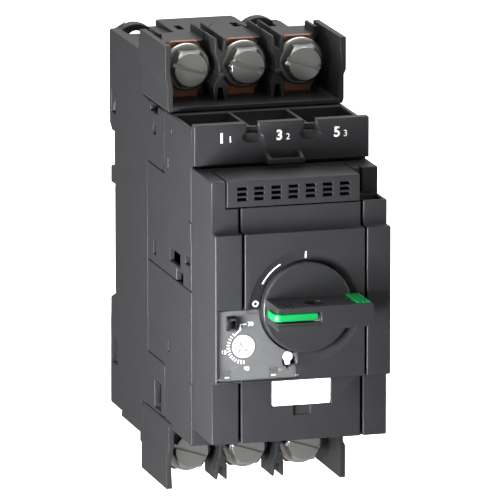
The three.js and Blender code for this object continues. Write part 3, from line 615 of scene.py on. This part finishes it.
@dataclass
class Printer:
    """Prints flat marks on the surface behind them.

    Attributes:
        film: Thickness of the ink.
        sink: How far the ink's back lies in the surface.
    """

    film: float = 0.05
    sink: float = 0.02

    def _lay(
        self, mark: bpy.types.Object, surface: bpy.types.Object, body: str, finish: Finish
    ) -> bpy.types.Object:
        """Presses a flat mark on a surface and gives it its thickness."""
        Bench.hold(mark)
        press = mark.modifiers.new("press", "SHRINKWRAP")
        press.wrap_method = "PROJECT"
        press.target = surface
        press.use_project_x = press.use_project_z = False
        press.use_project_y = True
        press.use_negative_direction = press.use_positive_direction = True
        press.offset = (self.film - self.sink) * MM
        bpy.ops.object.modifier_apply(modifier=press.name)
        film = mark.modifiers.new("film", "SOLIDIFY")
        film.thickness = self.film * MM
        film.offset = -1.0
        bpy.ops.object.modifier_apply(modifier=film.name)
        return Bench.fit(mark, finish, body)

    def shape(
        self, name: str, outline: Outline, front: float, surface: bpy.types.Object,
        body: str = "root", finish: Finish = INK,
    ) -> bpy.types.Object:
        """Prints a filled outline.

        Args:
            name: The mark's name.
            outline: Its corners in X and Z.
            front: Y just in front of the surface.
            surface: The piece that it is printed on.
            body: The body that both ride on.
            finish: The ink.

        Returns:
            The mark.
        """
        Bench.chain([Vector((x, front, z)) for x, z in outline])
        bpy.ops.mesh.edge_face_add()
        bpy.ops.object.mode_set(mode="OBJECT")
        mark = Bench.call(name)
        self._face_front(mark)
        return self._lay(mark, surface, body, finish)

    def number(
        self, name: str, words: str, place: Vector, height: float, surface: bpy.types.Object,
        weight: float = 0.0, body: str = "root",
    ) -> bpy.types.Object:
        """Prints digits, centred on a place.

        Args:
            name: The mark's name.
            words: The digits.
            place: Their middle, just in front of the surface.
            height: Height of a digit.
            surface: The piece that they are printed on.
            weight: How much their strokes are thickened.
            body: The body that both ride on.

        Returns:
            The mark.
        """
        bpy.ops.object.select_all(action="DESELECT")
        bpy.ops.object.text_add(rotation=(math.pi / 2, 0, 0), location=place * MM)
        text = bpy.context.active_object
        text.data.body = words
        text.data.size = height * MM / 0.72
        text.data.offset = weight * MM
        text.data.align_x, text.data.align_y = "CENTER", "CENTER"
        bpy.ops.object.convert(target="MESH")
        bpy.ops.object.transform_apply(location=True, rotation=True, scale=True)
        mark = Bench.call(name)
        self._face_front(mark)
        return self._lay(mark, surface, body, INK)

    @staticmethod
    def _face_front(mark: bpy.types.Object) -> None:
        """Turns a flat mark's faces towards -Y."""
        if sum(face.normal.y * face.area for face in mark.data.polygons) > 0:
            Bench.hold(mark)
            bpy.ops.object.mode_set(mode="EDIT")
            bpy.ops.mesh.select_all(action="SELECT")
            bpy.ops.mesh.flip_normals()
            bpy.ops.object.mode_set(mode="OBJECT")


# ---------------------------- casings


@dataclass
class Casing:
    """The moulded shells, with their edges rounded as a mould leaves them.

    Attributes:
        frame: The loaded frame.
        edges: Width of the rounding on each shell.
        ring_radius: Radius of the ring round the handle.
        ring_margin: How far outside the ring the rounding starts.
        tab_levels: Lowest and highest Z of the upper and the lower snap tabs.
        tab_sink: How far a tab lies in the side.
        tab_proud: How far it stands proud of the side.
        shells: The finished shells by their nodes' names.
    """

    frame: Frame
    edges: dict[str, float] = field(
        default_factory=lambda: {
            "rear_base": 0.35, "upper_mid_case": 0.35, "lower_mid_case": 0.35, "front_case": 0.4,
            "front_cover": 0.3, "vent_cover": 0.22, "marking_strip": 0.3,
            "upper_terminal_block": 0.22, "lower_terminal_block": 0.22,
        }
    )
    ring_radius: float = 17.8
    ring_margin: float = 1.5
    tab_levels: dict[str, tuple[float, float]] = field(
        default_factory=lambda: {"upper": (17.3, 23.0), "lower": (-32.8, -27.2)}
    )
    tab_sink: float = 0.6
    tab_proud: float = 0.35
    shells: dict[str, bpy.types.Object] = field(default_factory=dict)

    def build(self) -> None:
        """Makes every shell and its small side details."""
        for node, width in self.edges.items():
            shell = Bench.copy_of(self.frame.nodes[node], f"{node}_shell")
            if node == "front_cover":
                Bench.round_edges(shell, width, allowed=self._clear_of_ring)
            else:
                Bench.round_edges(shell, width)
            Bench.keep_inside(shell, self.frame.low(node), self.frame.high(node))
            Bench.smooth(shell, angle=CREASE)
            self.shells[node] = Bench.fit(shell, ANTHRACITE, stands_for=[node])
        self._snap_tabs()

    def _clear_of_ring(self, place: Vector) -> bool:
        """Says whether a place lies outside the ring round the handle."""
        handle = self.frame.pivot("handle_turn")
        reach = math.hypot(place.x - handle.x, place.z - handle.z)
        return reach > self.ring_radius + self.ring_margin

    def _snap_tabs(self) -> None:
        """The tabs on both sides that hold the front casing to the middle one."""
        side = self.frame.high("front_case").x
        seam = self.frame.high("front_case").y
        for sign, hand in ((-1, "left"), (1, "right")):
            near, far = sorted((sign * (side - self.tab_sink), sign * (side + self.tab_proud)))
            for level, (low, high) in self.tab_levels.items():
                tab = Bench.block(
                    f"{level}_{hand}_snap_tab",
                    Vector((near, seam - 0.4, low)), Vector((far, seam + 2.9, high)),
                )
                Bench.mould(tab, 0.25, ANTHRACITE)


# ---------------------------- front marks


@dataclass
class FrontMarks:
    """What is printed on the cover and the strip, and the label.

    Attributes:
        frame: The loaded frame.
        casing: The shells that are printed on.
        printer: What prints the marks.
        line: Width of the mark for on.
        on_reach: How far from the handle's middle that mark starts and ends.
        off_place: Right of and above the handle's middle, where the mark for off is.
        off_radii: Outer and inner radius of that mark.
        track: Radius of the arc between the two marks.
        track_line: Width of the arc.
        track_ends: Angles of the arc's ends.
        digit: Height of the large pole numbers.
        small_digit: Height of the small ones.
        clear: How far in front of the surface a mark is drawn.
    """

    frame: Frame
    casing: Casing
    printer: Printer
    line: float = 0.42
    on_reach: tuple[float, float] = (14.9, 17.0)
    off_place: tuple[float, float] = (-15.7, 1.7)
    off_radii: tuple[float, float] = (0.95, 0.58)
    track: float = 15.75
    track_line: float = 0.38
    track_ends: tuple[float, float] = (120.5, 150.5)
    digit: float = 3.1
    small_digit: float = 2.0
    clear: float = 0.5

    def build(self) -> None:
        """Prints the marks and lays the label."""
        cover = self.casing.shells["front_cover"]
        front = self.frame.low("front_cover").y - self.clear
        handle = self.frame.pivot("handle_turn")
        half = self.line / 2
        near, far = self.on_reach
        self.printer.shape(
            "mark_on",
            [(handle.x - half, handle.z + near), (handle.x + half, handle.z + near),
             (handle.x + half, handle.z + far), (handle.x - half, handle.z + far)],
            front, cover)
        x, z = handle.x + self.off_place[0], handle.z + self.off_place[1]
        outer, inner = self.off_radii
        ring = arc(x, z, outer, 0, 360, 36) + arc(x, z, inner, 360, 0, 36)
        self.printer.shape("mark_off", ring, front, cover)
        first, last = self.track_ends
        track = arc(handle.x, handle.z, self.track, first, last, 18)
        track += arc(handle.x, handle.z, self.track - self.track_line, last, first, 18)
        self.printer.shape("mark_travel", track, front, cover)
        self._pole_numbers()
        self._label()

    def _pole_numbers(self) -> None:
        """The terminals' numbers on the marking strip, large and small."""
        strip = self.casing.shells["marking_strip"]
        front = self.frame.low("marking_strip").y - self.clear
        level = self.frame.high("marking_strip").z - 4.4
        for pole in POLES:
            x = self.frame.pivot(f"line_screw_turn_{pole}").x
            large, small = str(2 * pole - 1), str(pole)
            self.printer.number(
                f"line_number_{pole}", large, Vector((x - 0.75, front, level)), self.digit,
                strip, weight=0.12)
            self.printer.number(
                f"line_small_number_{pole}", small, Vector((x + 1.9, front, level - 0.5)),
                self.small_digit, strip)

    def _label(self) -> None:
        """The blank label, a thin card with rounded corners."""
        low, high = self.frame.low("label_plate"), self.frame.high("label_plate")
        r = 0.5
        outline = (
            arc(high.x - r, high.z - r, r, 90, 0, 6) + arc(high.x - r, low.z + r, r, 0, -90, 6)
            + arc(low.x + r, low.z + r, r, -90, -180, 6) + arc(low.x + r, high.z - r, r, 180, 90, 6)
        )
        label = Bench.plate("label_card", outline, low.y, high.y)
        Bench.mould(label, 0.08, LABEL_WHITE, stands_for=["label_plate"], segments=2)


# ---------------------------- setting window


@dataclass
class SettingWindow:
    """The scale plate with its marks, the dial, the test button and the clear cover.

    Attributes:
        frame: The loaded frame.
        printer: What prints the marks.
        dial_radius: Radius of the dial.
        windows: How far the windows' middles are from the plate's left side.
        face_depth: How far the plate's face lies before its back.
        ticks: How many ticks the scale has.
        first_tick: Angle of the first tick.
        last_tick: Angle of the last tick.
        numbers: Each number's digits, and its place right of and above the dial.
        face: Y of the plate's face, known once the plate is made.
        plate: The plate, once it is made.
    """

    frame: Frame
    printer: Printer
    dial_radius: float = 3.6
    windows: dict[str, float] = field(default_factory=lambda: {"left": 2.75, "right": 17.3})
    face_depth: float = 1.7
    ticks: int = 14
    first_tick: float = -90.0
    last_tick: float = 130.0
    numbers: dict[str, tuple[str, float, float]] = field(
        default_factory=lambda: {
            "high": ("70", 2.1, 6.8), "middle": ("65", -6.2, -1.5), "low": ("60", 0.8, -6.9)
        }
    )
    face: float = 0.0
    plate: bpy.types.Object | None = None

    def build(self) -> None:
        """Makes the whole window."""
        plate = Bench.copy_of(self.frame.nodes["scale_plate"], "scale_panel")
        low, high = self.frame.low("scale_plate"), self.frame.high("scale_plate")
        self.face = high.y - self.face_depth
        for x in (low.x + right for right in self.windows.values()):
            window = Bench.block(
                "window", Vector((x - 1.35, self.face - 1, low.z + 0.4)),
                Vector((x + 1.35, self.face + 0.9, low.z + 3.1)))
            Bench.combine(plate, window)
        notch = Bench.block(
            "notch", Vector((low.x + 8.6, self.face - 1, high.z - 1.5)),
            Vector((low.x + 12.7, self.face + 1.2, high.z + 1)))
        Bench.combine(plate, notch)
        Bench.round_edges(plate, 0.15)
        Bench.smooth(plate, angle=CREASE)
        self.plate = Bench.fit(plate, PANEL_GREY, stands_for=["scale_plate"])
        self._latches(low)
        self._eyelet(low)
        self._scale()
        self._dial()
        self._test_button()
        self._cover()

    def _latches(self, low: Vector) -> None:
        """Painted shade in the two windows: a black block in each, with a light grey strip on its
        sill as a painted highlight.
        """
        for side, right in self.windows.items():
            x = low.x + right
            # a black block that paints the shade in the window
            painted_shade = Bench.block(
                f"{side}_slot_painted_shade", Vector((x - 1.1, self.face + 0.25, low.z + 1.3)),
                Vector((x + 1.1, self.face + 0.85, low.z + 2.9)))
            Bench.mould(painted_shade, 0.12, BLACK)
            # a light grey strip that paints a highlight on the window's sill
            painted_highlight = Bench.block(
                f"{side}_sill_painted_highlight", Vector((x - 0.75, self.face + 0.1, low.z + 0.6)),
                Vector((x + 0.75, self.face + 0.5, low.z + 1.05)))
            Bench.mould(painted_highlight, 0.1, LIGHT_GREY)

    def _eyelet(self, low: Vector) -> None:
        """The black loop that a sealing wire goes through."""
        front, z = self.frame.low("scale_plate").y, low.z + 17.75
        profile = [(self.face, z + 2.2)] + [
            (front + 0.9 - 0.9 * math.sin(a), z + 1.2 + 0.9 * math.cos(a))
            for a in (math.radians(15 * i) for i in range(7))
        ]
        mirrored = [(y, 2 * z - level) for y, level in reversed(profile)]
        outline = [Vector((low.x + 2.2, y, level)) for y, level in profile + mirrored]
        loop = Bench.prism("sealing_eyelet", outline, Vector((2.9, 0, 0)))
        hole = Bench.block(
            "hole", Vector((low.x + 1, front + 0.75, z - 0.9)),
            Vector((low.x + 6, front + 1.9, z + 0.9)))
        Bench.combine(loop, hole)
        Bench.mould(loop, 0.18, BLACK)

    def _scale(self) -> None:
        """Ticks, the leader line and the numbers round the dial."""
        centre = self.frame.pivot("setting_dial_turn")
        front = self.face - 0.5
        inner, outer, half = self.dial_radius + 0.75, self.dial_radius + 1.75, 0.13
        sweep = (360 - self.last_tick + self.first_tick) / (self.ticks - 1)
        for index in range(self.ticks):
            angle = math.radians(self.first_tick - sweep * index)
            along = Vector((math.cos(angle), math.sin(angle)))
            across = Vector((-along.y, along.x)) * half
            spot = Vector((centre.x, centre.z))
            corners = [
                spot + along * inner - across, spot + along * outer - across,
                spot + along * outer + across, spot + along * inner + across,
            ]
            self.printer.shape(f"tick_{index + 1}", [tuple(c) for c in corners], front, self.plate)
        x, z, w = centre.x, centre.z, 0.17
        leader = [
            (x - 2.95 - w, z + 3.55), (x - 1.1 - w, z + 5.25 + w), (x - 1.1 - w, z + 6.85 + w),
            (x + 0.8, z + 6.85 + w), (x + 0.8, z + 6.85 - w), (x - 1.1 + w, z + 6.85 - w),
            (x - 1.1 + w, z + 5.25 - w), (x - 2.95 + w, z + 3.45),
        ]
        self.printer.shape("scale_leader", leader, front, self.plate)
        for name, (words, right, up) in self.numbers.items():
            self.printer.number(
                f"scale_number_{name}", words, Vector((x + right, front, z + up)), 1.25, self.plate,
                weight=0.04)

    def _dial(self) -> None:
        """The dial, with its cross slot and the pointer at the end of one arm."""
        centre, face = self.frame.pivot("setting_dial_turn"), self.frame.low("setting_dial").y
        r = self.dial_radius
        dial = Bench.turned("current_dial", centre, [
            (0, face), (r - 0.45, face), (r - 0.2, face + 0.06), (r - 0.05, face + 0.2),
            (r, face + 0.45), (r, face + 2.4), (0, face + 2.4)])
        arm, reach = 0.5, 1.9
        outline: Outline = []
        for turn in (45, 135, 225, 315):
            a = math.radians(turn)
            along, across = (math.cos(a), math.sin(a)), (-math.sin(a), math.cos(a))
            ends = [(reach, -arm), (reach, arm)]
            if turn == 225:
                ends = [(1.7, -arm), (3.1, 0), (1.7, arm)]
            for far, wide in ends:
                outline.append((
                    centre.x + along[0] * far + across[0] * wide,
                    centre.z + along[1] * far + across[1] * wide))
            root = math.radians(turn + 45)
            outline.append((
                centre.x + arm * math.sqrt(2) * math.cos(root),
                centre.z + arm * math.sqrt(2) * math.sin(root)))
        Bench.combine(dial, Bench.plate("slot", outline, face - 1, face + 0.8))
        Bench.mould(dial, 0.06, LIGHT_GREY, "setting_dial", ["setting_dial"], segments=2)

    def _test_button(self) -> None:
        """The test button: a round head with a short stem below it."""
        low, high = self.frame.low("test_button"), self.frame.high("test_button")
        middle = self.frame.middle("test_button")
        level, radius = high.z - 0.5, 1.55
        outline = arc(middle.x, level, radius, -62, 242, 40) + [
            (middle.x - 0.72, level - 2.5), (middle.x + 0.72, level - 2.5)]
        head = Bench.plate("test_button_head", outline, low.y, low.y + 3.0)
        Bench.mould(head, 0.15, LIGHT_GREY, "test_button", ["test_button"])

    def _cover(self) -> None:
        """The clear cover, all but invisible over the panel."""
        Bench.remake(
            self.frame, "setting_cover", "clear_setting_cover", 0.12, CLEAR, "setting_cover")


# ---------------------------- handle


@dataclass
class Handle:
    """The handle's disc and bar, its green insert and the padlock tongue.

    Attributes:
        frame: The loaded frame.
        bar_half: Half the bar's height.
        grooves: X of the grooves in the bar's top.
        teeth: X of the notches in its underside.
    """

    frame: Frame
    bar_half: float = 3.55
    grooves: tuple[float, ...] = (-10.5, -9.0, -7.5)
    teeth: tuple[float, ...] = (11.6, 13.5, 15.4)

    def build(self) -> None:
        """Makes the four pieces that show."""
        knob = Bench.copy_of(self.frame.nodes["handle_knob"], "rotary_handle")
        front, level = self.frame.low("handle_knob").y, self.frame.pivot("handle_turn").z
        top, under = level + self.bar_half, level - self.bar_half
        for x in self.grooves:
            Bench.combine(knob, Bench.block(
                "groove", Vector((x - 0.22, front - 1, top - 0.28)),
                Vector((x + 0.22, front + 7.5, top + 1))))
        for x in self.teeth:
            Bench.combine(knob, Bench.block(
                "tooth", Vector((x - 0.5, front - 1, under - 1)),
                Vector((x + 0.5, front + 11.5, under + 0.22))))
        Bench.round_edges(knob, 0.3, segments=3)
        Bench.smooth(knob, angle=CREASE)
        Bench.fit(knob, HANDLE_GREY, "handle", ["handle_knob"])
        Bench.remake(self.frame, "handle_grip", "green_grip", 0.1, GREEN, "handle")
        self._tongue()
        self.frame.dress(STEEL, ["handle_shaft"])

    def _tongue(self) -> None:
        """The green tongue, round at the front and at its end."""
        low, high = self.frame.low("padlock_tongue"), self.frame.high("padlock_tongue")
        r = 2.2
        corner = arc(low.x + r, low.y + r, r, 180, 270, 10)
        flat = [(low.x, high.y)] + corner + [(high.x, low.y), (high.x, high.y)]
        outline = [Vector((x, y, low.z)) for x, y in flat]
        tongue = Bench.prism("green_tongue", outline, Vector((0, 0, high.z - low.z)))
        Bench.mould(tongue, 0.5, GREEN, "padlock_tongue", ["padlock_tongue"], segments=4)


# ---------------------------- terminals


@dataclass
class Terminals:
    """Six terminals, each a copper plate, a washer and a slotted hexagon screw.

    Attributes:
        frame: The loaded frame.
        head: Radius of the screw's round face.
        flats: Width across the hexagon's flats.
        slot: Width of the slot.
        slot_tilt: How far the slot is turned, in degrees.
        washer_radius: Radius of the washer.
        bore: Radius of the washer's hole.
    """

    frame: Frame
    head: float = 5.2
    flats: float = 11.0
    slot: float = 1.2
    slot_tilt: float = 18.0
    washer_radius: float = 7.4
    bore: float = 3.4

    def build(self) -> None:
        """Makes each terminal in turn."""
        for side in ("line", "load"):
            for pole in POLES:
                centre = self.frame.pivot(f"{side}_screw_turn_{pole}")
                self._screw(f"{side}_screw_{pole}", centre)
                self._washer(f"{side}_washer_{pole}", centre)
                node = f"{side}_terminal_{pole}"
                Bench.remake(self.frame, node, f"{node}_plate", 0.15, COPPER)

    def _screw(self, node: str, centre: Vector) -> None:
        """A hexagon head with a round chamfered face and a slot across it.

        Args:
            node: The CAD node that the screw stands for.
            centre: The middle of its face.
        """
        low, high = self.frame.low(node), self.frame.high(node)
        face, under = low.y, low.y + 4.5
        flank = self.flats / 2 / math.cos(math.pi / 6)
        screw = Bench.plate(
            f"{node}_head", arc(centre.x, centre.z, flank, 0, 300, 5), face, under)
        crown = Bench.turned("crown", centre, [
            (0, face), (self.head - 0.25, face), (self.head, face + 0.12),
            (self.head + 0.12, face + 0.35), (self.head + 1.5, face + 1.3),
            (self.head + 1.6, under + 1), (0, under + 1)])
        Bench.combine(screw, crown, "INTERSECT")
        shank = Bench.turned("shank", centre, [
            (0, under - 1), (2.9, under - 1), (2.9, high.y - 0.5), (2.4, high.y), (0, high.y)],
            steps=48)
        Bench.combine(screw, shank, "UNION")
        slot = Bench.block(
            "slot", Vector((centre.x - 8, face - 1.5, centre.z - self.slot / 2)),
            Vector((centre.x + 8, face + 1.5, centre.z + self.slot / 2)), turn=self.slot_tilt)
        Bench.combine(screw, slot)
        Bench.soften(screw, 0.12, segments=2)
        Bench.smooth(screw, angle=28)
        Bench.fit(screw, STEEL, node, [node])

    def _washer(self, node: str, centre: Vector) -> None:
        """A washer with rounded rims and a shallow dish in its face."""
        low, high = self.frame.low(node), self.frame.high(node)
        r = self.washer_radius
        ring = Bench.turned(f"{node}_ring", centre, [
            (self.bore, low.y + 0.15), (self.bore + 0.15, low.y), (r - 0.9, low.y),
            (r - 0.5, low.y + 0.06), (r - 0.15, low.y + 0.25), (r, low.y + 0.6), (r, high.y - 0.15),
            (r - 0.15, high.y), (self.bore + 0.15, high.y), (self.bore, high.y - 0.15),
            (self.bore, low.y + 0.15)])
        Bench.smooth(ring)
        Bench.fit(ring, STEEL, node, [node])


# ---------------------------- back and inside


@dataclass
class Workings:
    """What the casing holds, and the rail clip at the back.

    Attributes:
        frame: The loaded frame.
        clip_travel: How far the rail clip is pulled; not used.
    """

    frame: Frame
    clip_travel: float = 5.0

    def build(self) -> None:
        """Rounds the rail clip and gives the inner pieces their finishes."""
        Bench.remake(self.frame, "rail_clip", "sprung_rail_clip", 0.25, BLACK, "rail_clip")
        self._clip_spring()
        self.frame.dress(SPRING_STEEL, ["mechanism_frame"])
        self.frame.dress(PHENOLIC, ["contact_carrier", "trip_bar"])
        for pole in POLES:
            self.frame.dress(COPPER, [f"moving_contact_{pole}", f"magnetic_coil_{pole}"])
            self.frame.dress(STEEL, [f"arc_chute_{pole}", f"coil_plunger_{pole}"])
            self.frame.dress(BIMETAL, [f"bimetal_strip_{pole}"])

    def _clip_spring(self) -> None:
        """The coil, a smoothed copy of its CAD node."""
        low, high = self.frame.low("rail_clip_spring"), self.frame.high("rail_clip_spring")
        coils = Bench.copy_of(self.frame.nodes["rail_clip_spring"], "rail_clip_coils")
        Bench.smooth(coils, angle=65)
        Bench.fit(coils, SPRING_STEEL, stands_for=["rail_clip_spring"])
        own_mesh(coils)


# ---------------------------- studio


@dataclass(frozen=True)
class Softbox:
    """A square soft light that faces the object.

    Attributes:
        name: What it is called.
        place: Where it hangs, from the target.
        size: How wide it is.
        watts: How strong it is.
    """

    name: str
    place: tuple[float, float, float]
    size: float
    watts: float


@dataclass
class Studio:
    """A pale floor, soft lights and the camera.

    Attributes:
        azimuth: How far round to the left the camera stands, in degrees.
        elevation: How far above the horizon it stands, in degrees.
        roll: How far it leans, in degrees.
        distance: How far it is from its target.
        target: What it looks at.
        lens: Its focal length.
        sensor: Width of its sensor.
        far: How far it sees, in metres.
        drop: How far the floor lies below the object.
        floor_front: How far the floor reaches before the target.
        floor_back: How far it reaches behind it.
        ambient: Strength of the light from below, from the side and from above.
        floor_glow: Strength of the light that the floor gives off.
        boxes: The soft lights.
    """

    azimuth: float = 15.7908
    elevation: float = 12.2887
    roll: float = -0.0297
    distance: float = 2609.62
    target: tuple[float, float, float] = (1.179, -53.5, 5.343)
    lens: float = 610.65
    sensor: float = 36.0
    far: float = 20.0
    drop: float = 60.0
    floor_front: float = 520.0
    floor_back: float = 1500.0
    ambient: tuple[float, ...] = (0.9, 0.4, 1.15)
    floor_glow: float = 1.0
    boxes: tuple[Softbox, ...] = (
        Softbox("key", (-500, -350, 650), 500, 1.2),
        Softbox("overhead", (60, 420, 700), 600, 5.0),
        Softbox("near", (-150, -150, -25), 90, 2.2),
        Softbox("right", (600, 60, 200), 500, 4.0),
    )

    def build(self) -> None:
        """Sets up the whole studio."""
        self._sky()
        self._floor()
        for box in self.boxes:
            self._hang(box)
        self._camera()
        bpy.context.scene.view_settings.view_transform = "Standard"

    def _sky(self) -> None:
        """A surrounding that the camera sees as white, and that lights by three levels."""
        world = bpy.data.worlds.new("studio")
        world.use_nodes = True
        tree = world.node_tree
        lit = tree.nodes["Background"]
        place = tree.nodes.new("ShaderNodeTexCoord")
        split = tree.nodes.new("ShaderNodeSeparateXYZ")
        spread = tree.nodes.new("ShaderNodeMapRange")
        spread.inputs["From Min"].default_value = -1.0
        shade = tree.nodes.new("ShaderNodeValToRGB")
        shade.color_ramp.elements.new(0.5)
        peak = max(self.ambient)
        for stop, level in zip(shade.color_ramp.elements, self.ambient):
            stop.color = (level / peak, level / peak, level / peak, 1)
        lit.inputs["Strength"].default_value = peak
        tree.links.new(place.outputs["Generated"], split.inputs["Vector"])
        tree.links.new(split.outputs["Z"], spread.inputs["Value"])
        tree.links.new(spread.outputs["Result"], shade.inputs["Fac"])
        tree.links.new(shade.outputs["Color"], lit.inputs["Color"])
        seen = tree.nodes.new("ShaderNodeBackground")
        seen.inputs["Color"].default_value = (1, 1, 1, 1)
        path = tree.nodes.new("ShaderNodeLightPath")
        either = tree.nodes.new("ShaderNodeMixShader")
        tree.links.new(path.outputs["Is Camera Ray"], either.inputs["Fac"])
        tree.links.new(lit.outputs["Background"], either.inputs[1])
        tree.links.new(seen.outputs["Background"], either.inputs[2])
        tree.links.new(either.outputs["Shader"], tree.nodes["World Output"].inputs["Surface"])
        bpy.context.scene.world = world

    def _floor(self) -> None:
        """A wide pale floor below the object, left out of the light that falls on it."""
        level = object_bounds()[0][2] / MM - self.drop
        front, back = self.target[1] - self.floor_front, self.target[1] + self.floor_back
        floor = Bench.block(
            "studio_floor", Vector((-self.floor_back, front, level - 5)),
            Vector((self.floor_back, back, level)))
        paint = bpy.data.materials.new("floor_paint")
        paint.use_nodes = True
        shader = paint.node_tree.nodes["Principled BSDF"]
        shader.inputs["Base Color"].default_value = (0.9, 0.9, 0.9, 1)
        shader.inputs["Roughness"].default_value = 0.9
        shader.inputs["Emission Color"].default_value = (1, 1, 1, 1)
        shader.inputs["Emission Strength"].default_value = self.floor_glow
        floor.data.materials.append(paint)
        floor.visible_diffuse = False
        floor.visible_glossy = False
        floor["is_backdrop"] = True

    def _hang(self, box: Softbox) -> None:
        """Hangs a soft light so that it faces the target.

        Args:
            box: The light.
        """
        spot = (Vector(self.target) + Vector(box.place)) * MM
        bpy.ops.object.light_add(type="AREA", location=spot)
        lamp = bpy.context.active_object
        lamp.name = box.name
        lamp.data.size = box.size * MM
        lamp.data.energy = box.watts
        lamp.visible_camera = False
        lamp.rotation_euler = (-Vector(box.place)).to_track_quat("-Z", "Y").to_euler()

    def _camera(self) -> None:
        """The camera, far away behind a long lens."""
        side, rise = math.radians(self.azimuth), math.radians(self.elevation)
        level = math.cos(rise)
        out = Vector((-math.sin(side) * level, -math.cos(side) * level, math.sin(rise)))
        camera = bpy.data.cameras.new("camera")
        camera.lens, camera.sensor_width = self.lens, self.sensor
        camera.clip_end = self.far
        camera.dof.use_dof = False
        holder = bpy.data.objects.new("camera", camera)
        bpy.context.scene.collection.objects.link(holder)
        aim = (-out).to_track_quat("-Z", "Y").to_matrix().to_4x4()
        lean = Matrix.Rotation(math.radians(self.roll), 4, "Z")
        spot = (Vector(self.target) + out * self.distance) * MM
        holder.matrix_world = Matrix.Translation(spot) @ aim @ lean
        bpy.context.scene.camera = holder


def main(studio: Studio = Studio()) -> None:
    """Builds the breaker round its frame, then the studio.

    Args:
        studio: The lights and the camera.
    """
    logging.basicConfig(level=logging.INFO, format="%(name)s: %(message)s")
    frame = Frame(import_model())
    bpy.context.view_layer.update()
    printer = Printer()
    casing = Casing(frame)
    casing.build()
    FrontMarks(frame, casing, printer).build()
    SettingWindow(frame, printer).build()
    Handle(frame).build()
    Terminals(frame).build()
    Workings(frame).build()
    studio.build()


if __name__ == "__main__":
    main()
